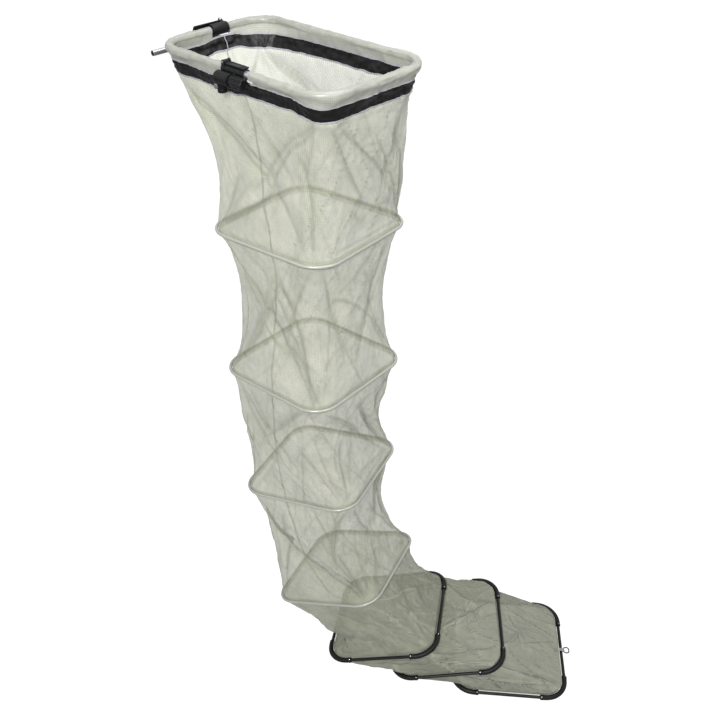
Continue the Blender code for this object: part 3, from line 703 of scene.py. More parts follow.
class Moulding:
    """A solid made of simpler ones, in its own frame, then rounded and set in its place."""

    def __init__(self, body: Piece) -> None:
        """Starts from one solid."""
        self.body = body

    def _combine(self, helper: Piece, operation: str) -> None:
        """Adds a helper to the body or takes it away, and removes the helper.

        Args:
            helper: The solid.
            operation: What the Boolean modifier does with it.
        """
        modifier = self.body.modifiers.new("combine", "BOOLEAN")
        modifier.operation = operation
        modifier.object = helper
        modifier.solver = "EXACT"
        plain_mesh(self.body)
        scrap(helper)

    def add(self, *helpers: Piece) -> "Moulding":
        """Adds solids to the body.

        Args:
            helpers: The solids, which are removed.

        Returns:
            The moulding itself.
        """
        for helper in helpers:
            self._combine(helper, "UNION")
        return self

    def cut(self, *helpers: Piece) -> "Moulding":
        """Cuts solids away from the body.

        Args:
            helpers: The solids, which are removed.

        Returns:
            The moulding itself.
        """
        for helper in helpers:
            self._combine(helper, "DIFFERENCE")
        return self

    def rounded(self, width: float, segments: int = 2) -> "Moulding":
        """Rounds the sharp edges.

        Args:
            width: How wide the rounding is.
            segments: Its steps.

        Returns:
            The moulding itself.
        """
        bevel = self.body.modifiers.new("rounded", "BEVEL")
        bevel.width = width
        bevel.segments = segments
        bevel.limit_method = "ANGLE"
        bevel.angle_limit = SMOOTH_ANGLE
        bevel.use_clamp_overlap = True
        plain_mesh(self.body)
        return self

    def placed(self, place: Matrix) -> Piece:
        """Sets it in its place, by its mesh, and gives the object.

        Args:
            place: The place and turn.

        Returns:
            The object.
        """
        self.body.data.transform(place)
        smooth(self.body.data)
        return self.body


def dress(piece: Piece, finish: Finish, body: str | None, slot: Slot, *nodes: str) -> Piece:
    """Gives a piece its finish and the body that it rides on, and hides the nodes that it stands for.

    Args:
        piece: The piece.
        finish: Its finish.
        body: The CAD body, or None for a piece that spans two, which is then left unattached.
        slot: The record's slot; not used.
        nodes: The CAD nodes that it replaces.

    Returns:
        The piece.
    """
    piece.data.materials.clear()
    piece.data.materials.append(finish.material())
    if body:
        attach(piece, body)
    if nodes:
        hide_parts(*nodes)
    LOG.info("%s: %d faces on %s", piece.name, len(piece.data.polygons), body or "two bodies")
    return piece


# Geometry Nodes


def new_tree(name: str, sockets: Sequence[tuple[str, str]]) -> tuple[Tree, dict[str, str]]:
    """Starts a Geometry Nodes tree with a geometry in and out.

    Args:
        name: The tree's name.
        sockets: The other inputs, as a name and a socket type.

    Returns:
        The tree, and the identifier of each input by its name.
    """
    tree = bpy.data.node_groups.new(name, "GeometryNodeTree")
    for way in ("INPUT", "OUTPUT"):
        tree.interface.new_socket("Geometry", in_out=way, socket_type="NodeSocketGeometry")
    identifiers = {}
    for label, kind in (*sockets, ("Finish", "NodeSocketMaterial")):
        identifiers[label] = tree.interface.new_socket(label, in_out="INPUT", socket_type=kind).identifier
    return tree, identifiers


def end_tree(tree: Tree, geometry: Socket, finish: Socket) -> None:
    """Ends a tree: the copies are made real and get their finish.

    Args:
        tree: The tree.
        geometry: What it has made.
        finish: The input that holds the finish.
    """
    real = add_node(tree, "GeometryNodeRealizeInstances", {"Geometry": geometry}).outputs[0]
    finished = add_node(tree, "GeometryNodeSetMaterial", {"Geometry": real, "Material": finish}).outputs[0]
    add_node(tree, "NodeGroupOutput", {"Geometry": finished})


def tube_tree() -> tuple[Tree, dict[str, str]]:
    """Builds a tree that sweeps a round section along a curve.

    Returns:
        The tree, and the identifier of each input by its name.
    """
    tree, names = new_tree("swept_tube", (("Radius", "NodeSocketFloat"), ("Sides", "NodeSocketInt")))
    given = add_node(tree, "NodeGroupInput").outputs
    circle = {"Resolution": given["Sides"], "Radius": given["Radius"]}
    section = add_node(tree, "GeometryNodeCurvePrimitiveCircle", circle).outputs["Curve"]
    sweep = {"Curve": given["Geometry"], "Profile Curve": section, "Fill Caps": True}
    end_tree(tree, add_node(tree, "GeometryNodeCurveToMesh", sweep).outputs["Mesh"], given["Finish"])
    return tree, names


def scatter_tree() -> tuple[Tree, dict[str, str]]:
    """Builds a tree that sets a copy of a shape on each point, turned and scaled as the point says.

    Returns:
        The tree, and the identifier of each input by its name.
    """
    sockets = (
        ("Shape", "NodeSocketObject"),
        ("Size", "NodeSocketFloat"),
        ("Unevenness", "NodeSocketFloat"),
        ("Seed", "NodeSocketInt"),
    )
    tree, names = new_tree("set_on_points", sockets)
    given = add_node(tree, "NodeGroupInput").outputs
    shape = add_node(tree, "GeometryNodeObjectInfo", {"Object": given["Shape"]}).outputs["Geometry"]
    turn = add_node(tree, "GeometryNodeInputNamedAttribute", {"Name": "turn"}, data_type="FLOAT_VECTOR")
    size = add_node(tree, "FunctionNodeRandomValue", {"Seed": given["Seed"]}, data_type="FLOAT")
    # A Random Value node has a socket of each name for each type of value.
    for socket, operation in (("Min", "SUBTRACT"), ("Max", "ADD")):
        bound = add_node(tree, MATH, {0: given["Size"], 1: given["Unevenness"]}, operation=operation)
        item = next(item for item in size.inputs if item.name == socket and item.type == "VALUE")
        tree.links.new(bound.outputs[0], item)
    value = next(item for item in size.outputs if item.type == "VALUE")
    setting = {"Points": given["Geometry"], "Instance": shape, "Rotation": turn.outputs["Attribute"]}
    copies = add_node(tree, "GeometryNodeInstanceOnPoints", {**setting, "Scale": value})
    end_tree(tree, copies.outputs["Instances"], given["Finish"])
    return tree, names


@dataclass(frozen=True)
class Workshop:
    """Holds the two Geometry Nodes trees and makes the small shapes that they repeat."""

    tube: tuple[Tree, dict[str, str]] = field(default_factory=tube_tree)
    scatter: tuple[Tree, dict[str, str]] = field(default_factory=scatter_tree)
    seed: int = 7

    def swept(
        self,
        name: str,
        path: Sequence[Vector],
        radius: float,
        finish: Finish,
        sides: int = 20,
        cyclic: bool = True,
    ) -> Piece:
        """Sweeps a tube along points.

        Args:
            name: The piece's name.
            path: The points of its centre line.
            radius: Its radius.
            finish: Its finish.
            sides: Its sides.
            cyclic: Whether the last point joins the first.

        Returns:
            The tube as a plain mesh.
        """
        curve = bpy.data.curves.new(name + "_path", "CURVE")
        curve.dimensions = "3D"
        spline = curve.splines.new("POLY")
        spline.points.add(len(path) - 1)
        for place, point in zip(spline.points, path):
            place.co = (*point, 1.0)
        spline.use_cyclic_u = cyclic
        values = {"Radius": radius, "Sides": sides, "Finish": finish.material()}
        return self._run(self.tube, name, curve, values)

    def scattered(
        self, name: str, places: Sequence[Matrix], shape: Piece, finish: Finish, unevenness: float = 0.0
    ) -> Piece:
        """Sets a copy of a shape at each place.

        Args:
            name: The piece's name.
            places: Where each copy goes and how it is turned.
            shape: What is copied.
            finish: Its finish.
            unevenness: How far the copies' size varies.

        Returns:
            The copies as one plain mesh.
        """
        mesh = bpy.data.meshes.new(name + "_points")
        mesh.from_pydata([tuple(p.translation) for p in places], [], [])
        turns = mesh.attributes.new("turn", "FLOAT_VECTOR", "POINT")
        turns.data.foreach_set("vector", [value for p in places for value in p.to_euler()])
        values = {"Shape": shape, "Size": 1.0, "Unevenness": unevenness, "Seed": self.seed}
        return self._run(self.scatter, name, mesh, {**values, "Finish": finish.material()})

    def _run(
        self, made: tuple[Tree, dict[str, str]], name: str, data: bpy.types.ID, values: dict[str, object]
    ) -> Piece:
        """Runs a tree on a curve or on points.

        Args:
            made: The tree and the identifiers of its inputs.
            name: The piece's name.
            data: The curve or the points.
            values: A value for each input, by its name.

        Returns:
            What the tree gives, as a plain piece.
        """
        tree, identifiers = made
        carrier = linked(name + "_carrier", data)
        modifier = carrier.modifiers.new("tree", "NODES")
        modifier.node_group = tree
        for label, value in values.items():
            modifier[identifiers[label]] = value
        bpy.context.view_layer.update()
        graph = bpy.context.evaluated_depsgraph_get()
        mesh = bpy.data.meshes.new_from_object(carrier.evaluated_get(graph), depsgraph=graph)
        mesh.name = name
        scrap(carrier)
        face_outwards(mesh)
        smooth(mesh)
        return linked(name, mesh)

    def stitch(self, length: float, radius: float) -> Piece:
        """One stitch, a short bead of thread along X, for a scatter to copy.

        Args:
            length: Its length.
            radius: Its radius at the middle.

        Returns:
            The bead.
        """
        stops = ((-0.5, 0.15), (-0.42, 0.75), (-0.2, 1.0), (0.2, 1.0), (0.42, 0.75), (0.5, 0.15))
        profile = [(along * length, share * radius) for along, share in stops]
        return turned("stitch_shape", profile, steps=6, closed=False)

    def screw_head(self, radius: float) -> Piece:
        """One domed screw head with a cross in it, standing along Z, for a scatter to copy.

        Args:
            radius: Its radius.

        Returns:
            The head.
        """
        profile = [(-0.0006, radius), (0.0002, radius), (0.0007, radius * 0.75), (0.0009, radius * 0.30)]
        dome = turned("screw_shape", profile, steps=18, closed=False)
        dome.data.transform(Matrix.Rotation(-math.pi / 2, 4, "Y"))
        head, arm, deep = Moulding(dome), radius * 0.62, 0.00035
        for along, wide in ((arm, radius * 0.14), (radius * 0.14, arm)):
            head.cut(slab("cross", (-along, -wide, deep), (along, wide, 0.003)))
        return head.body


# Where the hoops hang


@dataclass(frozen=True)
class Hoop:
    """A hoop as it hangs: its centre from the top frame's, then roll, pitch and turn in degrees.

    The rest is about the mesh above it: how far it draws in, how deep its folds are, how many folds they
    shift on the way down, how much longer it is cut than it hangs, how strongly it is creased, how far its
    middle swings to the right of the picture, in metres, and the power of its shoulder.
    """

    number: int
    centre: tuple[float, float, float]
    roll: float
    pitch: float
    turn: float
    tube: float
    waist: float
    fold: float
    drift: float
    slack: float
    crease: float = 1.0
    swing: float = 0.0
    power: float = 1.0

    @property
    def body(self) -> str:
        """The CAD body."""
        return f"hoop_{self.number}"

    @property
    def ring(self) -> str:
        """The piece that holds the mesh open."""
        return f"hoop_{self.number}_tube" if self.tube == SLIM else f"tail_rails_{self.number}"

    def pose(self) -> Matrix:
        """Its place and turn."""
        angles = Euler([math.radians(a) for a in (self.roll, self.pitch, self.turn)])
        return Matrix.Translation(FRAME_CENTRE + Vector(self.centre)) @ angles.to_matrix().to_4x4()


SLIM, THICK = 0.0050, 0.0103
HOOPS = (
    Hoop(2, (0.011, 0.040, -0.519), -2.3, -0.5, 6.2, SLIM, 0.04, 0.0040, 0.3, 0.010, 0.9, 0.024, 2.6),
    Hoop(3, (0.002, 0.041, -1.046), -1.5, -1.9, 3.5, SLIM, 0.20, 0.0065, 0.9, 0.015, 1.0, 0.006),
    Hoop(4, (-0.006, 0.069, -1.556), -3.0, -8.4, 18.8, SLIM, 0.15, 0.0070, -0.8, 0.015, 1.1, -0.021),
    Hoop(5, (0.108, 0.081, -2.049), -5.5, -21.0, 20.9, SLIM, 0.20, 0.0085, 1.0, 0.020, 1.2, -0.022),
    Hoop(6, (0.275, 0.157, -2.287), -4.7, -17.5, 34.4, THICK, 0.16, 0.0110, 1.2, 0.060, 2.3),
    Hoop(7, (0.471, 0.299, -2.327), 0.6, -11.7, 40.6, THICK, 0.04, 0.0080, -0.7, -0.100, 1.9),
    Hoop(8, (0.686, 0.439, -2.395), 0.0, 0.0, 38.3, THICK, 0.03, 0.0070, 0.6, -0.100, 0.9),
)


def along_outline(
    line: Outline, distances: Sequence[float], place: Matrix, rise: float = 0.0
) -> list[Vector]:
    """Points of an outline set in a place, this far above its plane."""
    return [place @ Vector((*line.at(distance)[0], rise)) for distance in distances]


# The cloth at the top frame


@dataclass(frozen=True)
class TopCloth:
    """How the sleeve, the ribbon and its bindings hang from the top frame."""

    drop: float = 0.0270
    inset: float = 0.004
    lean: float = 0.20
    corner_inset: float = 0.026
    corner_lean: float = 0.50
    corner_reach: float = 0.120
    binding_height: float = 0.0042
    binding_half: float = 0.0011
    band_height: float = 0.032
    sleeve_radius: float = 0.0120
    least_radius: float = 0.0110
    sleeve_sag: float = 0.0004
    seam_at: float = 1.428
    front_opening: tuple[float, float] = (-0.0425, 0.0685)
    rear_opening: tuple[float, float] = (-0.013, 0.053)

    @property
    def net_start(self) -> float:
        """The height at which the mesh begins, under the lower binding."""
        return -self.drop - 2 * self.binding_height - self.band_height - 4 * GAP

    def drawn_in(self, distance: float, height: float) -> float:
        """How far inwards of the tube the cloth hangs, which is most at the far corner.

        Args:
            distance: The distance round the frame.
            height: The height below the tube's axis.

        Returns:
            How far inwards.
        """
        long_run, short_run = FRAME_LINE.straights
        far_corner = long_run * 1.5 + short_run + FRAME_LINE.bend * 2.5
        near = math.exp(-(((distance % FRAME_LINE.perimeter - far_corner) / self.corner_reach) ** 2))
        depth = -self.drop - height
        return self.inset + self.corner_inset * near + (self.lean + self.corner_lean * near) * depth

    def circle(self, distance: float) -> Vector:
        """A point on a circle for a distance round the frame, so that a pattern closes on itself."""
        angle = distance * 3.234
        return Vector((math.cos(angle), math.sin(angle), 0))

    def wave(self, distance: float, height: float) -> float:
        """A soft unevenness that moves the cloth in and out, a few millimetres.

        Args:
            distance: The distance round the frame.
            height: The height below the tube's axis.

        Returns:
            How far out the cloth moves.
        """
        spot = self.circle(distance)
        spot.z = height * 9.0
        slow = 0.0060 * noise.noise(spot * 2.6) + 0.0030 * noise.noise(spot * 8.3)
        spot.z = height * 2.0
        return slow + 0.0026 * noise.noise(spot * 21) + 0.0018 * noise.noise(spot * 47)

    def point(self, distance: float, height: float, out: float = 0.0) -> Vector:
        """A point of the cloth under the frame.

        Args:
            distance: The distance round the frame.
            height: The height below the tube's axis.
            out: How far outwards of the cloth's middle it is.

        Returns:
            The point.
        """
        place, normal = FRAME_LINE.at(distance)
        away = out - self.drawn_in(distance, height) + self.wave(distance, height)
        sway = 0.0045 * noise.noise(self.circle(distance) * 7) * min(1.0, (-self.drop - height) / 0.012)
        return FRAME_CENTRE + Vector((*(place + normal * away), height + sway + self.lift(distance)))

    def lift(self, distance: float) -> float:
        """How far the ribbon is drawn up: at both clamps, and the other way at the front corner.

        Args:
            distance: The distance round the frame.

        Returns:
            How far up.
        """
        at = distance % FRAME_LINE.perimeter
        front = math.exp(-(((at - 0.125) / 0.115) ** 4))
        rear = math.exp(-(((at - self.seam_at) / 0.060) ** 4))
        corner = math.exp(-(((at - 0.308) / 0.035) ** 2))
        return 0.0070 * front + 0.0110 * rear - 0.0050 * corner

    def strip(
        self, name: str, top: float, height: float, half: float, rows: int, bulge: float = 0.0
    ) -> Piece:
        """A strip of cloth all the way round, as a thin closed wall.

        Args:
            name: The piece's name.
            top: The height of its upper edge.
            height: How tall it is.
            half: Half its thickness.
            rows: Rows of faces down each side.
            bulge: How far its middle stands proud of its edges, as a rolled binding does.

        Returns:
            The strip, with UVs in metres.
        """
        distances = FRAME_LINE.evenly(0.0, FRAME_LINE.perimeter, 0.0045)
        shares = [row / rows for row in range(rows + 1)]
        profile = [(share, half + bulge * math.sin(math.pi * share)) for share in shares]
        profile += [(share, -out) for share, out in reversed(profile)]
        around = distances[:-1]
        points = [[self.point(at, top - height * share, out) for at in around] for share, out in profile]
        down = [share * height for share, _ in (*profile, profile[0])]
        return woven(name, points, distances, down, outward=True)

    def sleeve(self, name: str, start: float, end: float) -> Piece:
        """A sleeve of mesh folded over the tube, open below but for its sewn edge.

        Args:
            name: The piece's name.
            start: The distance round the frame at which it starts.
            end: The distance at which it ends.

        Returns:
            The sleeve, with UVs in metres and its folds as an attribute, which the finish shows as denser
            cloth and painted shade.
        """
        distances = FRAME_LINE.evenly(start, end, 0.006)
        foot_height = -self.drop - 0.0012
        turns = [math.radians(-34 + 248 * step / 20) for step in range(21)]
        falls = (1.0, 0.90, 0.74, 0.56, 0.38, 0.20)
        # The hanging sides below the tube get a constant mark: slightly denser cloth, and painted shade.
        hanging_density_and_shade = [0.2] * len(falls)
        grid, sleeve_fold_shade = [], []
        for distance in distances:
            place, normal = FRAME_LINE.at(distance)
            foot = -self.drawn_in(distance, foot_height) + self.wave(distance, foot_height)
            sewn = foot_height + self.lift(distance)
            circle = self.circle(distance)
            over, marks = [], []
            for turn in turns:
                long_fold = noise.noise(Vector((circle.x * 5, circle.y * 5, turn * 1.5)))
                pucker = noise.noise(Vector((circle.x * 17, circle.y * 17, turn * 0.7)))
                radius = max(self.sleeve_radius + 0.0030 * long_fold + 0.0022 * pucker, self.least_radius)
                over.append((radius * math.cos(turn), radius * math.sin(turn) - self.sleeve_sag))
                # A mark along each long fold: denser cloth, and painted shade.
                marks.append(math.exp(-((long_fold / 0.03) ** 2)))
            sides = []
            for side, top in ((1, over[0]), (-1, over[-1])):
                fluting = noise.noise(Vector((circle.x * 22, circle.y * 22, side * 3.0)))
                hang = []
                for fall in falls:
                    bow = 0.0034 * fluting * math.sin(math.pi * fall)
                    out = foot + (top[0] - foot) * (1 - fall) ** 1.25 + bow
                    hang.append((out + side * 0.0009, top[1] + (sewn - top[1]) * fall))
                sides.append(hang)
            row = sides[0] + over + sides[1][::-1]
            sleeve_fold_shade.append(hanging_density_and_shade + marks + hanging_density_and_shade)
            grid.append([FRAME_CENTRE + Vector((*(place + normal * x), z)) for x, z in row])
        piece = woven(name, list(zip(*grid)), distances, [index * 0.0032 for index in range(len(grid[0]))])
        mark_folds(piece, np.array(sleeve_fold_shade).T)
        return piece


# The mesh


def finer(grid: np.ndarray, axis: int, closed: bool) -> np.ndarray:
    """Sets a point on the curve between every two along an axis of a grid, and keeps the given ones.

    Args:
        grid: Rows of stations of points.
        axis: 0 for down the rows, 1 for round the stations.
        closed: Whether the last joins the first.

    Returns:
        The grid, twice as fine along that axis.
    """
    points = np.moveaxis(grid, axis, 0)
    if closed:
        around = np.concatenate((points[-1:], points, points[:2]))
    else:
        before, beyond = 2 * points[:1] - points[1:2], 2 * points[-1:] - points[-2:-1]
        around = np.concatenate((before, points, beyond))
    middles = (9 * (around[1:-2] + around[2:-1]) - around[:-3] - around[3:]) / 16
    count = len(points) * 2 if closed else len(points) * 2 - 1
    out = np.zeros((count, *points.shape[1:]))
    out[0::2] = points
    out[1::2] = middles
    return np.moveaxis(out, 0, axis)


CREASES = (
    (27.0, 0.150, 1.200, 0.0046),
    (-31.0, 0.130, 1.100, 0.0042),
    (7.0, 0.060, 0.800, 0.0022),
    (-11.0, 0.048, 0.600, 0.0019),
    (63.0, 0.040, 0.300, 0.0010),
    (-70.0, 0.030, 0.240, 0.0008),
)


def creases(along: float, down: float, girth: float, seed: int) -> tuple[float, float]:
    """Works out long ridges that cross each other at a slant, in several sizes.

    Near the end of the girth they fade into those at its start, so that nothing shows where it closes.

    Args:
        along: How far round the cloth the place is.
        down: How far down it is.
        girth: The way round.
        seed: A number that makes one section unlike the next.

    Returns:
        How far out the mesh stands, in metres, and how sharply it is folded, from 0 to 1, which the finish
        shows as denser cloth and painted shade along the crease lines (painted highlights in the gathered and
        heaped mesh).
    """
    share = max(0.0, along / girth - 0.85) / 0.15
    depth = fold_density_and_shade = 0.0
    for turn, weight in ((0.0, 1.0 - share), (girth, share)):
        if weight <= 0.0:
            continue
        for slant, across, lengthwise, height in CREASES:
            angle = math.radians(slant)
            x, y = along - turn, down
            cross = (x * math.cos(angle) - y * math.sin(angle)) / across
            length = (x * math.sin(angle) + y * math.cos(angle)) / lengthwise
            value = noise.noise(Vector((cross, length, seed * 7.3 + slant)))
            depth += weight * height * (0.55 - 2.2 * abs(value))
            # A mark along each crease line, which the finish turns into painted shade (painted highlights in
            # the gathered and heaped mesh).
            edge = math.exp(-((value / 0.014) ** 2)) * min(1.0, height / 0.005)
            fold_density_and_shade = max(fold_density_and_shade, 0.6 * weight * edge)
    return depth, fold_density_and_shade


@dataclass(frozen=True)
class Fold:
    """A sharp fold between two points of a section, each a share of the way round and of the way down."""

    start: tuple[float, float]
    end: tuple[float, float]
    depth: float
    width: float

    def on(
        self, around: np.ndarray, down: np.ndarray, girth: float, height: float
    ) -> tuple[np.ndarray, np.ndarray]:
        """Works out the fold over a section.

        Args:
            around: Each point's share of the way round.
            down: Each point's share of the way down.
            girth: The section's girth.
            height: The section's height.

        Returns:
            How far each point moves out, and how sharply it is folded, which the finish shows as denser cloth
            and painted shade (painted highlights in the gathered and heaped mesh).
        """
        line = np.array([(self.end[0] - self.start[0]) * girth, (self.end[1] - self.start[1]) * height])
        length = float(np.hypot(*line))
        line /= length
        middle = (self.start[0] + self.end[0]) / 2
        x = (((around - middle + 0.5) % 1.0) - 0.5 + middle - self.start[0]) * girth
        y = (down - self.start[1]) * height
        along = (x * line[0] + y * line[1]) / length
        side = -x * line[1] + y * line[0] + 0.006 * np.sin(along * 5 + self.width * 90)
        away = np.abs(side)
        fade = np.sqrt(np.clip(np.sin(np.pi * np.clip(along, 0, 1)), 0, 1))
        tent = np.clip(1 - away / self.width, 0, 1) ** 1.4
        # A band on one side of the fold where the cloth laps over itself: denser there, and darker as painted
        # shade (paler, as a painted highlight, in the gathered and heaped mesh).
        lap_density_and_shade = np.where(side > 0, 0.5 * np.exp(-away / 0.020), 0.0)
        fold_line_and_lap_shade = np.maximum(0.9 * np.exp(-((away / 0.0060) ** 2)), lap_density_and_shade)
        return self.depth * tent * fade, fold_line_and_lap_shade * fade * min(1.0, abs(self.depth) / 0.013)


# The four corners, each a share of the way round.
CORNERS = (0.125, 0.375, 0.625, 0.875)
# The folds that the picture shows on the near side, by section.
NEAR_FOLDS = {
    1: (Fold((0.16, 0.03), (0.30, 0.62), -0.012, 0.050), Fold((-0.10, 0.04), (0.02, 0.55), -0.010, 0.045)),
    2: (Fold((-0.125, 0.02), (0.125, 0.98), -0.022, 0.060), Fold((0.33, 0.10), (0.22, 0.80), -0.010, 0.040)),
    3: (Fold((-0.09, 0.03), (0.04, 0.70), -0.010, 0.045), Fold((0.15, 0.05), (0.33, 0.93), -0.014, 0.050)),
    4: (Fold((-0.17, 0.22), (0.125, 0.98), -0.030, 0.060), Fold((0.36, 0.05), (0.20, 0.60), -0.012, 0.045)),
    5: (
        Fold((0.125, 0.08), (0.125, 0.97), 0.034, 0.060),
        Fold((-0.02, 0.20), (0.11, 0.95), -0.028, 0.045),
        Fold((0.64, 0.80), (1.02, 0.84), -0.065, 0.085),
    ),
    6: (
        Fold((0.20, 0.10), (0.30, 0.92), 0.028, 0.042),
        Fold((0.34, 0.05), (0.24, 0.75), -0.024, 0.036),
        Fold((0.125, 0.05), (0.02, 0.90), 0.024, 0.036),
    ),
    7: (
        Fold((0.125, 0.02), (0.13, 0.97), 0.024, 0.036),
        Fold((0.18, 0.04), (0.26, 0.42), 0.020, 0.030),
        Fold((0.02, 0.10), (0.12, 0.85), 0.020, 0.030),
    ),
}
# How many more folds fan out from each end of a corner, by section.
FOLDS_AT_CORNER = (3, 3, 3, 3, 2, 2, 0)


def folds_of(number: int) -> list[Fold]:
    """The folds of a section: the ones that the picture shows, and others that fan out from its corners.

    Args:
        number: The section's number.

    Returns:
        The folds.
    """
    chance = random.Random(40 + number)
    folds, signs = list(NEAR_FOLDS[number]), (-1, -1, 1) if number < 5 else (-1, 1, 1)
    for corner in CORNERS:
        for top, far in ((0.02, chance.uniform(0.45, 0.95)), (0.98, chance.uniform(0.10, 0.55))):
            for _ in range(FOLDS_AT_CORNER[number - 1]):
                side = chance.choice((-1, 1)) * chance.uniform(0.04, 0.17)
                depth = chance.choice(signs) * chance.uniform(0.006, 0.013)
                width = chance.uniform(0.020, 0.050)
                folds.append(Fold((corner + side * 0.1, top), (corner + side, far), depth, width))
    return folds


@dataclass
class Section:
    """One length of mesh between two hoops, as rows of points from its upper hem to its lower one."""

    number: int
    upper_body: str
    hoop: Hoop
    rows: np.ndarray
    cut_length: float
    # Fold marks for each point, which the finish shows as denser cloth and painted shade (painted highlights
    # in the gathered and heaped mesh).
    folds: np.ndarray | None = None


@dataclass
class Net:
    """The whole tube of mesh, in seven sections that hang between the top frame and the hoops."""

    top: TopCloth
    side_steps: int = 20
    bend_steps: int = 10
    row_step: float = 0.0145
    to_hoop: float = 0.0012
    hem_rise: float = 0.004
    held_rows: int = 2
    drape_frames: int = 34
    seam_station: int = 175
    tape_step: float = 0.0072
    sections: list[Section] = field(default_factory=list)

    def __post_init__(self) -> None:
        """Lays out the rows of every section."""
        above, upper_body = self._frame_rows(), "top_frame"
        for hoop in HOOPS:
            self.sections.append(self._section(above, upper_body, hoop))
            above, upper_body = self._hoop_rows(hoop, (-GAP, -hoop.tube - self.hem_rise)), hoop.body

    @property
    def stations(self) -> int:
        """How many points there are round each row."""
        return 4 * (self.side_steps + self.bend_steps)

    def _frame_rows(self) -> list[list[Vector]]:
        """Gives the first two rows, under the lower binding, from distances round the frame.

        Returns:
            The rows of points.
        """
        distances = FRAME_LINE.stations(self.side_steps, self.bend_steps)
        heights = (self.top.net_start + 0.003, self.top.net_start - 0.008)
        return [[self.top.point(distance, height) for distance in distances] for height in heights]

    def hoop_line(self, hoop: Hoop) -> Outline:
        """Gives the outline that the mesh follows inside a hoop.

        Args:
            hoop: The hoop.

        Returns:
            The outline.
        """
        inset = hoop.tube + self.to_hoop
        side = HOOP_LINE.length - 2 * inset
        return Outline(side, side, HOOP_LINE.radius - inset)

    def _hoop_rows(self, hoop: Hoop, heights: Sequence[float]) -> list[list[Vector]]:
        """Gives rows inside a hoop.

        Args:
            hoop: The hoop.
            heights: The rows' heights over its plane.

        Returns:
            The rows of points.
        """
        line = self.hoop_line(hoop)
        distances = line.stations(self.side_steps, self.bend_steps)
        return [along_outline(line, distances, hoop.pose(), height) for height in heights]

    def _corner_weight(self, index: int) -> float:
        """Weighs a station by how near it is to a corner.

        Args:
            index: The station.

        Returns:
            1 at the middle of a corner, and less along the sides.
        """
        repeat = self.side_steps + self.bend_steps
        away = (index - repeat / 2) % repeat
        return 1.0 - 0.65 * min(away, repeat - away) / (repeat / 2)

    def _section(self, above: list[list[Vector]], upper_body: str, hoop: Hoop) -> Section:
        """Lays out one section, drawn in and gently folded.

        Args:
            above: The rows of its upper hem.
            upper_body: The CAD body that they ride on.
            hoop: The hoop at its lower end.

        Returns:
            The section.
        """
        below = self._hoop_rows(hoop, (hoop.tube + self.hem_rise, GAP))
        upper, lower = above[-1], below[0]
        upper_middle, lower_middle = (sum(row, Vector()) / len(row) for row in (upper, lower))
        spans = sorted((a - b).length for a, b in zip(upper, lower))
        cut_length = max(spans[int(0.93 * len(spans))], 0.20) * (1.0 + hoop.slack)
        steps = max(8, round(cut_length / self.row_step))
        rows = [list(row) for row in above]
        for share in (step / steps for step in range(1, steps)):
            eased = 1.0 - (1.0 - share) ** hoop.power
            middle = upper_middle.lerp(lower_middle, share)
            drawn = math.sin(math.pi * share) ** 0.8
            row = []
            for index in range(self.stations):
                outwards = (upper[index] - upper_middle).lerp(lower[index] - lower_middle, eased)
                around = math.tau * index / self.stations
                turns = 9 * index / self.stations + hoop.drift * share
                spot = Vector((math.cos(around) * 3, share * 2.4, hoop.number + math.sin(around) * 3))
                fold = hoop.fold * drawn * (0.55 * math.cos(math.tau * turns) + 1.3 * noise.noise(spot))
                keep = 1.0 - hoop.waist * self._corner_weight(index) * drawn
                row.append(middle + outwards * keep + outwards.normalized() * fold)
            rows.append(row)
        grid = np.array([[tuple(point) for point in row] for row in rows + below])
        return Section(hoop.number - 1, upper_body, hoop, grid, cut_length)

    def _rest_rows(self, section: Section) -> np.ndarray:
        """Lays out the section as it was cut: a straight tube whose girth eases from hem to hem.

        Args:
            section: The section.

        Returns:
            Its points, in the same rows.
        """
        grid, held = section.rows, self.held_rows
        count = len(grid)
        around = np.roll(grid, -1, axis=1) - grid
        girth_top, girth_low = (np.linalg.norm(around[row], axis=1).sum() for row in (1, -2))
        steps = np.linalg.norm(around[0], axis=1)
        turn = np.concatenate(([0.0], np.cumsum(steps)[:-1])) / steps.sum() * math.tau
        rest = np.zeros_like(grid)
        inner = count - 2 * held + 1
        down = 0.0
        for row in range(count):
            share = min(max((row - held + 1) / inner, 0.0), 1.0)
            eased = 1.0 - (1.0 - share) ** section.hoop.power
            snug = 1.0 - 0.055 * math.sin(math.pi * share) ** 0.8
            radius = (girth_top + (girth_low - girth_top) * eased) * snug / math.tau
            ring = (radius * np.cos(turn), radius * np.sin(turn), np.full(len(turn), -down))
            rest[row] = np.stack(ring, 1)
            fixed = row < held - 1 or row >= count - held
            step = np.linalg.norm(grid[min(row + 1, count - 1)] - grid[row], axis=1).mean()
            down += step if fixed else section.cut_length / inner
        return rest

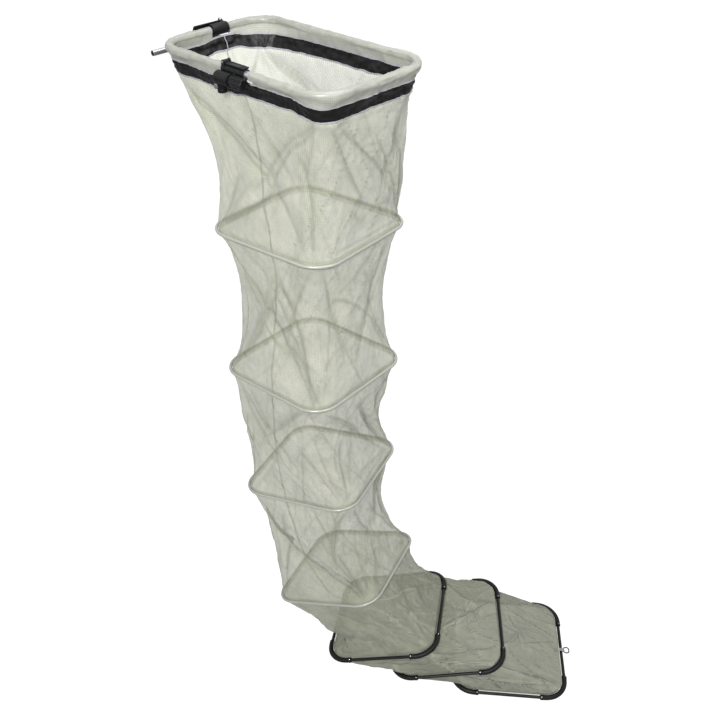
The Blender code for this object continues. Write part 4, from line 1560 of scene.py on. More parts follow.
    def drape(self) -> None:
        """Lets the mesh settle under its own weight as cloth, held at every hoop, above the floor."""
        points, rest, faces, held, first = [], [], [], [], 0
        for section in self.sections:
            count = len(section.rows)
            points.append(section.rows.reshape(-1, 3))
            rest.append(self._rest_rows(section).reshape(-1, 3))
            for row in (*range(self.held_rows), *range(count - self.held_rows, count)):
                held += range(first + row * self.stations, first + (row + 1) * self.stations)
            faces += [tuple(first + corner for corner in face) for face in grid_faces(count, self.stations)]
            first += count * self.stations
        cloth_piece = new_piece("drape", np.vstack(points).tolist(), faces, outward=False)
        cloth_piece.shape_key_add(name="as_hung")
        cut = cloth_piece.shape_key_add(name="as_cut")
        cut.data.foreach_set("co", np.vstack(rest).astype(np.float32).ravel())
        cloth_piece.vertex_groups.new(name="held").add(held, 1.0, "REPLACE")
        self._cloth_settings(cloth_piece.modifiers.new("cloth", "CLOTH"), cut)
        ground = slab("ground", (-3, -3, FLOOR_HEIGHT - 0.3), (3, 3, FLOOR_HEIGHT))
        ground.modifiers.new("ground", "COLLISION")
        ground.collision.thickness_outer = 0.002
        scene = bpy.context.scene
        for frame in range(1, self.drape_frames + 1):
            scene.frame_set(frame)
        settled = cloth_piece.evaluated_get(bpy.context.evaluated_depsgraph_get()).data
        coordinates = np.zeros(first * 3, np.float32)
        settled.vertices.foreach_get("co", coordinates)
        rows = coordinates.reshape(-1, self.stations, 3).astype(float)
        for section in self.sections:
            section.rows, rows = rows[: len(section.rows)], rows[len(section.rows) :]
        scrap(cloth_piece, ground)
        scene.frame_set(1)

    def _cloth_settings(self, modifier: bpy.types.Modifier, cut: bpy.types.ShapeKey) -> None:
        """Sets the cloth's weight and stiffness, as of a light knit.

        Args:
            modifier: The cloth modifier.
            cut: The shape in which the mesh was cut.
        """
        knit = {
            "vertex_group_mass": "held",
            "rest_shape_key": cut,
            "quality": 6,
            "mass": 0.05,
            "tension_stiffness": 25,
            "compression_stiffness": 12,
            "shear_stiffness": 4,
            "bending_stiffness": 0.35,
            "tension_damping": 15,
            "compression_damping": 15,
            "shear_damping": 8,
            "bending_damping": 2,
            "air_damping": 3,
        }
        for setting, value in knit.items():
            setattr(modifier.settings, setting, value)
        modifier.collision_settings.use_collision = True
        modifier.collision_settings.distance_min = 0.003
        modifier.collision_settings.use_self_collision = False
        modifier.point_cache.frame_start = 1
        modifier.point_cache.frame_end = self.drape_frames

    def _crease(self, section: Section) -> None:
        """Doubles the rows and stations of a section and creases it, as mesh is that has been packed away,
        and stores its fold marks, which the finish shows as denser cloth and painted shade (painted
        highlights in the gathered and heaped mesh).

        Args:
            section: The section.
        """
        grid = finer(finer(section.rows, 1, closed=True), 0, closed=False)
        rows, stations = grid.shape[:2]
        free = np.clip((np.arange(rows) / (rows - 1) - 0.06) / 0.88, 0, 1)
        grid += section.hoop.swing * np.sin(np.pi * free)[:, None, None] * PICTURE_RIGHT
        across = (np.roll(grid, -1, axis=1) - np.roll(grid, 1, axis=1)) / 2
        drop = np.gradient(grid, axis=0)
        normals = np.cross(drop, across)
        normals /= np.maximum(np.linalg.norm(normals, axis=2, keepdims=True), 1e-9)
        girth = float(np.linalg.norm(across, axis=2).mean() * stations)
        height = float(np.linalg.norm(drop, axis=2).mean() * rows)
        section.folds, depths = np.zeros((rows, stations)), np.zeros((rows, stations))
        for row in range(rows):
            share = row / (rows - 1)
            hold = min(1.0, share / 0.12, (1 - share) / 0.12)
            for index in range(stations):
                depth, fold_density_and_shade = creases(girth * index / stations, height * share, girth, section.number)
                depths[row, index] = depth * hold * section.hoop.crease
                section.folds[row, index] = fold_density_and_shade * (0.35 + 0.65 * hold)
        around, down = np.meshgrid(np.arange(stations) / stations, np.arange(rows) / (rows - 1))
        for fold in folds_of(section.number):
            depth, fold_density_and_shade = fold.on(around, down, girth, height)
            depths += depth * np.clip(np.minimum(down, 1 - down) / 0.05, 0, 1)
            section.folds = np.maximum(section.folds, fold_density_and_shade)
        section.rows = grid + normals * depths[..., None]

    def _lay_flat(self, grid: np.ndarray) -> tuple[np.ndarray, np.ndarray]:
        """Measures a section for its UVs.

        Args:
            grid: Its points.

        Returns:
            How far round each station is, and how far down each row.
        """
        steps = np.linalg.norm(np.roll(grid, -1, axis=1) - grid, axis=2).mean(axis=0)
        drops = np.linalg.norm(np.diff(grid, axis=0), axis=2).mean(axis=1)
        return np.concatenate(([0.0], np.cumsum(steps))), np.concatenate(([0.0], np.cumsum(drops)))

    def _join(self, piece: Piece, section: Section) -> None:
        """Works out the way that parts the section's two hems, which nothing uses, and bakes the piece's
        place into its mesh.

        Args:
            piece: The piece.
            section: The section.
        """
        upper, lower = section.rows[1], section.rows[-2]
        facing = []
        for ring in (upper, lower):
            spread = ring - ring.mean(axis=0)
            normal = np.cross(spread, np.roll(spread, -1, axis=0)).sum(axis=0)
            facing.append(normal / np.linalg.norm(normal))
        down = -(facing[0] + facing[1])
        down /= np.linalg.norm(down)
        middle = upper.mean(axis=0)
        start = float(((upper - middle) @ down).max())
        end = float(((lower - middle) @ down).min())
        if end - start < 0.02:
            centre = (start + end) / 2
            start, end = centre - 0.02, centre + 0.02
        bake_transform(piece)

    def make(self) -> None:
        """Makes the seven sections and their seam tape."""
        for section in self.sections:
            self._crease(section)
            grid = section.rows
            piece = woven(f"mesh_{section.number}", grid, *self._lay_flat(grid))
            mark_folds(piece, section.folds)
            # The gathered and heaped sections take darker copies of the mesh as painted shade, with painted
            # highlights on their ridges.
            finish = SHADED_TAIL_MESH if section.number > 5 else SHADED_GATHERED_MESH if section.number == 5 else NET_MESH
            dress(piece, finish, None, Slot.MESH, f"net_{section.number}")
            self._join(piece, section)
            seam = self._seam(section)
            dress(seam, SEAM_TAPE, None, Slot.TAPE)
            self._join(seam, section)
            girth = float(np.linalg.norm(np.roll(grid[-1], -1, axis=0) - grid[-1], axis=1).sum())
            if section.number == 1:
                girth = (girth + FRAME_LINE.perimeter) / 2

    def _seam(self, section: Section) -> Piece:
        """The tape sewn down the inside of the mesh, along one thread of it.

        Args:
            section: The section.

        Returns:
            The tape.
        """
        grid = section.rows
        rows, left_column, right_column = [], self.seam_station, self.seam_station + 2
        for row in range(len(grid)):
            above, below = grid[max(row - 1, 0)], grid[min(row + 1, len(grid) - 1)]
            left = grid[row][left_column]
            across = grid[row][right_column] - left
            normal = np.cross(above[left_column] - below[left_column], across)
            normal /= max(np.linalg.norm(normal), 1e-9)
            rows.append([left + across * share + normal * 0.0009 for share in (0.30, 0.70)])
        down = [row * self.tape_step for row in range(len(grid))]
        tape = woven(f"seam_tape_{section.number}", rows, (0.0, 0.010), down)
        tape.modifiers.new("thickness", "SOLIDIFY").thickness = 0.0004
        plain_mesh(tape)
        return tape


# Hoops and frames


@dataclass(frozen=True)
class TopFrame:
    """The oblong frame: its tube, its sleeves, and the ribbon between its bindings."""

    cloth: TopCloth
    shop: Workshop
    tube_radius: float = 0.010
    tube_step: float = 0.008
    sleeve_cut: float = 0.100
    end_radius: float = 0.0017
    ribbon_half: float = 0.0007
    binding_bulge: float = 0.0007
    seam_radius: float = 0.0014
    stitch_length: float = 0.0034
    stitch_radius: float = 0.00045
    stitch_pitch: float = 0.0052

    def make(self) -> None:
        """Makes every piece of the top frame."""
        place = Matrix.Translation(FRAME_CENTRE)
        distances = FRAME_LINE.evenly(0, FRAME_LINE.perimeter, self.tube_step)[:-1]
        path = along_outline(FRAME_LINE, distances, place)
        tube = self.shop.swept("frame_tube_bare", path, self.tube_radius, BARE_TUBE, sides=32)
        dress(tube, BARE_TUBE, "top_frame", Slot.BARE, "frame_tube")
        self._sleeves()
        self._ribbon()

    def _sleeves(self) -> None:
        """The mesh folded over the tube, in a long and a short length, with bound ends."""
        middle = 1.5 * sum(FRAME_LINE.straights) + 3 * FRAME_LINE.bend
        rear = [middle - y for y in self.cloth.rear_opening]
        before, beyond = self.cloth.front_opening
        spans = {"sleeve_long": (beyond, rear[1]), "sleeve_short": (rear[0], FRAME_LINE.perimeter + before)}
        for node, (start, end) in spans.items():
            sleeve = self.cloth.sleeve(node.replace("sleeve", "folded_sleeve"), start, end)
            marks = (("first", start), ("last", end))
            ends = [self._bound_end(f"{node}_{label}_binding", at) for label, at in marks]
            dress(sleeve, SLEEVE_MESH, "top_frame", Slot.MESH, node)
            for piece in ends:
                dress(piece, BINDING, "top_frame", Slot.TAPE)

    def _bound_end(self, name: str, distance: float) -> Piece:
        """Makes the rolled binding round a sleeve's end.

        Args:
            name: The piece's name.
            distance: The distance round the frame.

        Returns:
            The binding.
        """
        place, normal = FRAME_LINE.at(distance)
        radius = self.cloth.sleeve_radius * 0.90
        row = []
        for angle in (math.radians(-55 + 290 * step / 24) for step in range(25)):
            row.append((radius * math.cos(angle), radius * math.sin(angle) - self.cloth.sleeve_sag))
        lifted = self.cloth.lift(distance) * 0.7
        row += [(-0.0066, -0.0190 + lifted), (-0.0048, -0.0262 + lifted)]
        path = [FRAME_CENTRE + Vector((*(place + normal * x), z)) for x, z in row]
        return self.shop.swept(name, path, self.end_radius, BINDING, sides=10, cyclic=False)

    def _ribbon(self) -> None:
        """The woven ribbon, its two bindings, and the rows of stitches that hold them."""
        cloth, half = self.cloth, self.cloth.binding_half
        top = -cloth.drop - GAP
        band_top = top - cloth.binding_height - GAP
        low_top = band_top - cloth.band_height - GAP
        binding = (cloth.binding_height, half, 3, self.binding_bulge)
        band = (cloth.band_height, self.ribbon_half, 10)
        strips = (
            ("upper_binding", top, binding, BINDING, Slot.TAPE, "band_top_binding"),
            ("ribbon", band_top, band, RIBBON, Slot.WEBBING, "woven_band"),
            ("lower_binding", low_top, binding, BINDING, Slot.TAPE, "band_low_binding"),
        )
        sewn = []
        for name, start, sizes, finish, slot, node in strips:
            sewn.append(dress(cloth.strip(name, start, *sizes), finish, "top_frame", slot, node))
        ribbon = sewn.pop(1)
        bead = self.shop.stitch(self.stitch_length, self.stitch_radius)
        for name, height in (("upper_stitches", top - 0.0030), ("lower_stitches", low_top - 0.0012)):
            for side, out in (("outside", half + 0.0008), ("inside", -half - 0.0008)):
                places = self._stitch_places(height, out)
                row = self.shop.scattered(f"{name}_{side}", places, bead, THREAD, 0.12)
                sewn.append(dress(row, THREAD, "top_frame", Slot.TAPE))
        scrap(bead)
        tall = cloth.band_height + 2 * cloth.binding_height
        path = []
        for step in range(13):
            at = cloth.seam_at + 0.0015 * math.sin(step * 0.7)
            path.append(cloth.point(at, top - tall * step / 12, -half - 0.0012))
        seam = self.shop.swept("ribbon_seam_tape", path, self.seam_radius, BINDING, sides=8, cyclic=False)
        sewn.append(dress(seam, BINDING, "top_frame", Slot.TAPE))
        flat = (FRAME_LINE.perimeter - 0.03, tall)

    def _stitch_places(self, height: float, out: float) -> list[Matrix]:
        """Finds a place every 5 mm round the ribbon, turned along it.

        Args:
            height: The height below the tube's axis.
            out: How far outwards of the ribbon's middle it is.

        Returns:
            The places.
        """
        places = []
        for distance in FRAME_LINE.evenly(0, FRAME_LINE.perimeter, self.stitch_pitch)[:-1]:
            here = self.cloth.point(distance, height, out)
            onward = self.cloth.point(distance + 0.001, height, out) - here
            places.append(Matrix.Translation(here) @ onward.to_track_quat("X", "Z").to_matrix().to_4x4())
        return places


@dataclass(frozen=True)
class Hoops:
    """The four slim hoops and the three black frames of the tail, and their hems."""

    shop: Workshop
    net: Net
    rail_radius: float = 0.0062
    rail_in_socket: float = 0.0137
    socket: float = 0.018
    socket_bore: float = 0.0065
    lip_radius: float = 0.0103
    corner_radius: float = 0.0095
    screw_in: float = 0.0055
    screw_radius: float = 0.0021
    eye_radius: float = 0.0036

    @property
    def corner_start(self) -> float:
        """How far from the middle of a side a corner piece starts."""
        return HOOP_LINE.straights[0] / 2 - self.socket

    def make(self) -> None:
        """Makes every hoop."""
        for hoop in HOOPS:
            if hoop.tube == SLIM:
                self._slim(hoop)
            else:
                self._tail(hoop)
            self._hem(hoop)
        self._base()

    def _slim(self, hoop: Hoop) -> None:
        """Makes a slim hoop of bent tube, with the sleeve that joins its two ends.

        Args:
            hoop: The hoop.
        """
        path = along_outline(HOOP_LINE, HOOP_LINE.evenly(0, HOOP_LINE.perimeter, 0.008)[:-1], hoop.pose())
        tube = self.shop.swept(f"hoop_{hoop.number}_tube", path, hoop.tube, PALE_COAT, sides=24)
        dress(tube, PALE_COAT, hoop.body, Slot.PALE, f"ring_{hoop.number}_tube")
        place, _ = HOOP_LINE.at(HOOP_LINE.perimeter / 2)
        profile = [(-0.022, 0.0045), (-0.0215, 0.0056), (-0.020, 0.0058), (0.020, 0.0058), (0.0215, 0.0056)]
        profile.append((0.022, 0.0045))
        ferrule = turned(f"hoop_{hoop.number}_ferrule", profile, steps=32, closed=False)
        ferrule.data.transform(hoop.pose() @ Matrix.Translation((*place, 0)))
        dress(ferrule, PALE_COAT, hoop.body, Slot.PALE)

    def _hem(self, hoop: Hoop) -> None:
        """The doubled strip of mesh that ties the net to a hoop, with its stitches.

        Args:
            hoop: The hoop.
        """
        line = self.net.hoop_line(hoop)
        line = Outline(line.length - 0.0016, line.width - 0.0016, line.radius - 0.0008)
        distances = line.evenly(0, line.perimeter, 0.010)
        heights = (0.013, 0.006, -0.001, -0.008, -0.014)
        if hoop.number == 8:
            heights = (0.014, 0.009, 0.004, 0.0005)
        rows = [along_outline(line, distances[:-1], hoop.pose(), height) for height in heights]
        if hoop.tube == THICK:
            rows.append(self._flange(hoop, line, distances[:-1], heights[-1]))
            heights = (*heights, heights[-1] - 0.005)
        hem = woven(f"hem_{hoop.number}", rows, distances, [heights[0] - height for height in heights])
        inner = Outline(line.length - 0.001, line.width - 0.001, line.radius - 0.0005)
        places = []
        for distance in inner.evenly(0, inner.perimeter, 0.0062)[:-1]:
            place, normal = inner.at(distance)
            turn = Matrix.Rotation(math.atan2(normal.x, -normal.y), 4, "Z")
            for height in (heights[0] - 0.003, heights[-1] + 0.003):
                places.append(hoop.pose() @ Matrix.Translation((*place, height)) @ turn)
        bead = self.shop.stitch(0.0036, 0.0005)
        stitches = self.shop.scattered(f"hem_stitches_{hoop.number}", places, bead, THREAD, 0.1)
        scrap(bead)
        dress(hem, NET_MESH, hoop.body, Slot.MESH)
        dress(stitches, THREAD, hoop.body, Slot.TAPE)
        line.perimeter

    def _flange(self, hoop: Hoop, line: Outline, distances: Sequence[float], height: float) -> list[Vector]:
        """Lays out the hem's outer edge, which reaches the rails between the corner pieces.

        Args:
            hoop: The hoop.
            line: The hem's outline.
            distances: The hem's stations.
            height: The height of its edge.

        Returns:
            The points.
        """
        straight = HOOP_LINE.straights[0] / 2 - 0.020
        points = []
        for distance in distances:
            place, normal = line.at(distance)
            free = min(abs(place.x), abs(place.y)) < straight
            spot = place + normal * (0.0058 if free else 0.0008)
            points.append(hoop.pose() @ Vector((*spot, height)))
        return points

    def _tail(self, hoop: Hoop) -> None:
        """Makes a black frame: four rails in four moulded corners, each held by two screws.

        Args:
            hoop: The hoop.
        """
        sides = [(side, hoop.pose() @ Matrix.Rotation(math.pi / 2 * side, 4, "Z")) for side in range(4)]
        rails = joined(f"tail_rails_{hoop.number}", [self._rail(side, spin) for side, spin in sides])
        corners = joined(f"tail_corners_{hoop.number}", [self._corner(side, spin) for side, spin in sides])
        rail_nodes, corner_nodes = (
            [f"ring_{hoop.number}_{kind}_{number}" for number in range(1, 5)] for kind in ("rail", "corner")
        )
        dress(rails, BLACK_COAT, hoop.body, Slot.BLACK, *rail_nodes)
        dress(corners, NYLON, hoop.body, Slot.PLASTIC, *corner_nodes)
        head = self.shop.screw_head(self.screw_radius)
        screws = self.shop.scattered(f"tail_screws_{hoop.number}", self._screw_places(hoop), head, STEEL)
        scrap(head)
        dress(screws, STEEL, hoop.body, Slot.STEEL)

    def _rail(self, side: int, spin: Matrix) -> Piece:
        """Makes one rail, which runs into the sockets at its two ends.

        Args:
            side: Which of the four sides it is.
            spin: The place and turn of that side.

        Returns:
            The rail.
        """
        half = self.corner_start + self.rail_in_socket
        ends = [(-half, self.rail_radius), (half, self.rail_radius)]
        rail = turned(f"rail_{side}", ends, steps=28, closed=False)
        rail.data.transform(spin @ Matrix.Translation((0, -HOOP_LINE.width / 2, 0)))
        return rail

    def _corner(self, side: int, spin: Matrix) -> Piece:
        """Makes one moulded corner: a bend with a socket, a collar and a rib at each end.

        Args:
            side: Which of the four it is.
            spin: The place and turn of its side.

        Returns:
            The corner.
        """
        first, last = self.corner_start, self.corner_start + HOOP_LINE.bend + 2 * self.socket
        bore, lip, body = self.socket_bore, self.lip_radius, self.corner_radius
        head = [(0.014, bore), (0.0, bore), (0.0, lip - 0.0010), (0.0010, lip), (0.0100, lip), (0.0112, body)]
        head += [(0.0150, body), (0.0156, lip - 0.0003), (0.0176, lip - 0.0003), (0.0182, body)]
        stops = [(first + at, radius) for at, radius in head]
        for share in (step / 12 for step in range(1, 12)):
            swell = body + 0.0004 * math.sin(math.pi * share)
            stops.append((first + self.socket + HOOP_LINE.bend * share, swell))
        stops += [(last - at, radius) for at, radius in reversed(head)]
        sections = []
        for at, radius in stops:
            place, normal = HOOP_LINE.at(at)
            sections.append([spin @ Vector((*(place + normal * p.x), p.y)) for p in ring_points(radius, 28)])
        return lofted(f"corner_{side}", sections)

    def _screw_places(self, hoop: Hoop) -> list[Matrix]:
        """Finds where the screws sit: on the top and outside of each corner's two collars.

        Args:
            hoop: The hoop.

        Returns:
            The places.
        """
        first = self.corner_start + self.screw_in
        last = self.corner_start + HOOP_LINE.bend + 2 * self.socket - self.screw_in
        places = []
        for side in range(4):
            spin = hoop.pose() @ Matrix.Rotation(math.pi / 2 * side, 4, "Z")
            for at in (first, last):
                place, normal = HOOP_LINE.at(at)
                along = Vector((-normal.y, normal.x, 0))
                up = (Vector((*normal, 0)) * 0.50 + Vector((0, 0, 1))).normalized()
                turn = Matrix((along, up.cross(along), up)).transposed().to_4x4()
                places.append(spin @ Matrix.Translation(Vector((*place, 0)) + up * self.lip_radius) @ turn)
        return places

    def _base(self) -> None:
        """The flat mesh that closes the tail, a little slack, and the tab and loop at its far side."""
        hoop = HOOPS[-1]
        line = self.net.hoop_line(hoop)
        rings, around = 14, [line.at(distance)[0] for distance in line.stations(20, 10)]
        count = len(around)
        flat = [Vector((0, 0))]
        points = [hoop.pose() @ Vector((0, 0, -0.0018))]
        for share in (ring / rings for ring in range(1, rings + 1)):
            for edge in around:
                place = edge * share
                dip = 0.0016 * (1 - share**2) + 0.0009 * noise.noise(Vector((*place, 0)) * 22)
                flat.append(place)
                points.append(hoop.pose() @ Vector((*place, -0.0004 - dip * (1 - share**6))))
        faces = [(0, 1 + index, 1 + (index + 1) % count) for index in range(count)]
        faces += [tuple(1 + corner for corner in face) for face in grid_faces(rings, count)]
        uvs = [[tuple(flat[corner]) for corner in face] for face in faces]
        base = new_piece("base_mesh", points, faces, uvs, outward=False)
        dress(base, NET_MESH, hoop.body, Slot.MESH, "base_panel")
        self._peg_loop(hoop)

    def _peg_loop(self, hoop: Hoop) -> None:
        """Makes the folded tab over the last rail, and the wire loop that hangs in its eye.

        Args:
            hoop: The last hoop.
        """
        eye_x = HOOP_LINE.length / 2 + self.rail_radius + self.eye_radius + GAP
        eye_z = self.rail_radius + GAP + 0.0014 - self.eye_radius
        place = hoop.pose() @ Matrix.Translation((eye_x, 0, eye_z))
        half, inner, outer = 0.0066, 0.0026, 0.0038
        wall = [(-half, inner), (-half, outer), (half, outer), (half, inner)]
        eye = turned("peg_tab_eye", wall, Axis.Y, 32)
        reach, side = HOOP_LINE.length / 2 - eye_x - 0.0085, half - 0.0002
        strap = slab("peg_tab_strap", (reach, -side, outer - 0.0014), (-0.0005, side, outer - 0.0001))
        tab = Moulding(eye).add(strap).rounded(0.0003, 1).placed(place)
        patch = Moulding(slab("patch", (-0.042, -0.0085, 0.0), (-0.0235, 0.0085, 0.0008))).rounded(0.0003, 1)
        patch = patch.placed(place @ Matrix.Translation((0, 0, 0.0002 - eye_z)))
        for piece, name, nodes in ((tab, "peg_tab_folded", ("peg_tab",)), (patch, "peg_tab_sewn_end", ())):
            piece.name = name
            add_box_uvs(piece)
            dress(piece, BINDING, hoop.body, Slot.TAPE, *nodes)
        line = Outline(0.022, 0.026, 0.0100)
        path = []
        for distance in line.evenly(0, line.perimeter, 0.0012)[:-1]:
            spot = line.at(distance)[0]
            path.append(place @ Vector((spot.x + line.length / 2, spot.y, 0)))
        loop = self.shop.swept("peg_loop_wire", path, 0.0023, DARK_STEEL, sides=16)
        dress(loop, DARK_STEEL, "end_loop", Slot.STEEL, "peg_loop")


def joined(name: str, parts: Sequence[Piece]) -> Piece:
    """Joins plain meshes at the origin into one piece.

    Args:
        name: The piece's name.
        parts: The meshes, which are removed.

    Returns:
        The piece.
    """
    shape = bmesh.new()
    for part in parts:
        shape.from_mesh(part.data)
    mesh = bpy.data.meshes.new(name)
    shape.to_mesh(mesh)
    shape.free()
    scrap(*parts)
    smooth(mesh)
    return linked(name, mesh)


def add_box_uvs(piece: Piece) -> None:
    """Gives a small piece of cloth UVs in metres, each face seen from the side that it faces.

    Args:
        piece: The piece.
    """
    mesh = piece.data
    layer = mesh.uv_layers.get("UVMap") or mesh.uv_layers.new(name="UVMap")
    for face in mesh.polygons:
        drop = max(range(3), key=lambda axis: abs(face.normal[axis]))
        kept = [axis for axis in range(3) if axis != drop]
        for loop in face.loop_indices:
            point = mesh.vertices[mesh.loops[loop].vertex_index].co
            layer.data[loop].uv = (point[kept[0]], point[kept[1]])


# Clamps


@dataclass(frozen=True)
class CamLever:
    """A lever with a cam, on a pin between two ears of a collar."""

    pin_radius: float = 0.0020
    head_radius: float = 0.0032
    head: float = 0.0014
    cam_radius: float = 0.0052
    cam_half: float = 0.0075
    half_width: float = 0.0110
    thickness: float = 0.0042
    below_pin: float = 0.0048
    start: float = 0.0085
    ear: float = 0.0042
    ear_radius: float = 0.0058
    above_seat: float = 0.0056

    def ears(self, along: float, height: float, bore: float) -> list[Piece]:
        """Two ears to add to a collar.

        Args:
            along: Where the pin crosses the collar.
            height: The pin's height over the tube's axis.
            bore: The collar's bore.

        Returns:
            The two solids.
        """
        inner = self.cam_half + GAP
        foot = math.sqrt(bore**2 - inner**2) + 0.0004
        outline = [Vector((along - self.ear_radius, foot)), Vector((along + self.ear_radius, foot))]
        for step in range(17):
            angle = math.pi * step / 16
            rim = Vector((math.cos(angle), math.sin(angle))) * self.ear_radius
            outline.append(Vector((along, height)) + rim)
        made = []
        for side in (-1, 1):
            near, far = side * inner, side * (inner + self.ear)
            made.append(lofted("ear", [[Vector((p.x, y, p.y)) for p in outline] for y in (near, far)]))
        return made

    def bore(self, along: float, height: float) -> Piece:
        """The hole for the pin, to cut from a collar.

        Args:
            along: Where the pin crosses the collar.
            height: The pin's height over the tube's axis.

        Returns:
            The solid to cut away.
        """
        reach = self.cam_half + 3 * self.ear
        radius = self.pin_radius + GAP
        hole = turned("pin_bore", [(-reach, radius), (reach, radius)], Axis.Y, 24, closed=False)
        hole.data.transform(Matrix.Translation((along, 0, height)))
        return hole

    def lever(self, name: str, length: float) -> Moulding:
        """The lever, with its origin on the pin: a cam, a neck, and a dished plate with a ribbed tip.

        Args:
            name: The piece's name.
            length: How far it reaches from the pin.

        Returns:
            The lever, not yet in its place.
        """
        bore, half = self.pin_radius + GAP, self.cam_half
        rim = [(-half, bore), (-half, self.cam_radius), (half, self.cam_radius), (half, bore)]
        cam = turned(name, rim, Axis.Y, 36)
        low = -self.below_pin
        high, wide = low + self.thickness, self.half_width
        side = half - 0.0002
        neck = slab("neck", (bore + 0.0012, -side, low + 0.0002), (self.start + 0.002, side, high))
        plate = Moulding(slab("plate", (self.start, -wide, low), (length, wide, high))).rounded(0.0018, 4)
        lever = Moulding(cam).add(neck, plate.body)
        side = wide - 0.0035
        lever.cut(slab("dish", (self.start + 0.006, -side, high - 0.0008), (length - 0.022, side, high + 1)))
        for rib in range(5):
            at = length - 0.0165 + rib * 0.0030
            lever.cut(slab("grip", (at, -wide + 0.002, high - 0.0007), (at + 0.0013, wide - 0.002, high + 1)))
        return lever.rounded(0.00035, 2)

    def fit(self, side: Side, length: float, place: Matrix, pin_body: str) -> None:
        """Makes a clamp's lever and pin, and dresses them.

        Args:
            side: The clamp.
            length: How far the lever reaches from its pin.
            place: The pin's frame.
            pin_body: The CAD body that holds the pin.
        """
        lever = self.lever(f"{side.value}_lever_moulded", length).placed(place)
        dress(lever, NYLON, f"{side.value}_cam_lever", Slot.PLASTIC, f"{side.value}_lever")
        pin = self.pin(f"{side.value}_lever_pin_domed")
        pin.data.transform(place)
        dress(pin, STEEL, pin_body, Slot.STEEL, f"{side.value}_lever_pin")

    def pin(self, name: str) -> Piece:
        """The pin, with a domed head at each end.

        Args:
            name: The piece's name.

        Returns:
            The pin, on the Y axis.
        """
        reach = self.cam_half + GAP + self.ear + GAP
        out = reach + self.head
        profile = [(-out, self.head_radius * 0.4), (-out + 0.0003, self.head_radius * 0.85)]
        profile += [(-out + 0.0008, self.head_radius), (-reach, self.head_radius), (-reach, self.pin_radius)]
        mirrored = [(-along, radius) for along, radius in reversed(profile)]
        return turned(name, profile + mirrored, Axis.Y, 28, closed=False)


def collar(
    name: str, start: float, end: float, bore: float, radius: float, ribs: int = 0, axis: Axis = Axis.X
) -> Piece:
    """A collar with eased ends and shallow grooves between its ribs.

    Args:
        name: The piece's name.
        start: Where it starts along its axis.
        end: Where it ends.
        bore: Its inner radius.
        radius: Its outer radius.
        ribs: How many grooves it has.
        axis: What it goes round.

    Returns:
        The collar.
    """
    ease, groove, deep = 0.0012, 0.0014, 0.0012
    eased = ((0.0, ease), (ease * 0.3, ease * 0.3), (ease, 0.0))
    points = [(start, bore), *((start + along, radius - less) for along, less in eased)]
    pitch = (end - start - 2 * ease) / (ribs + 1)
    for rib in range(ribs):
        middle = start + ease + pitch * (rib + 1)
        points += [(middle - groove, radius), (middle - groove / 2, radius - deep)]
        points += [(middle + groove / 2, radius - deep), (middle + groove, radius)]
    points += [*((end - along, radius - less) for along, less in reversed(eased)), (end, bore)]
    return turned(name, points, axis, 64)


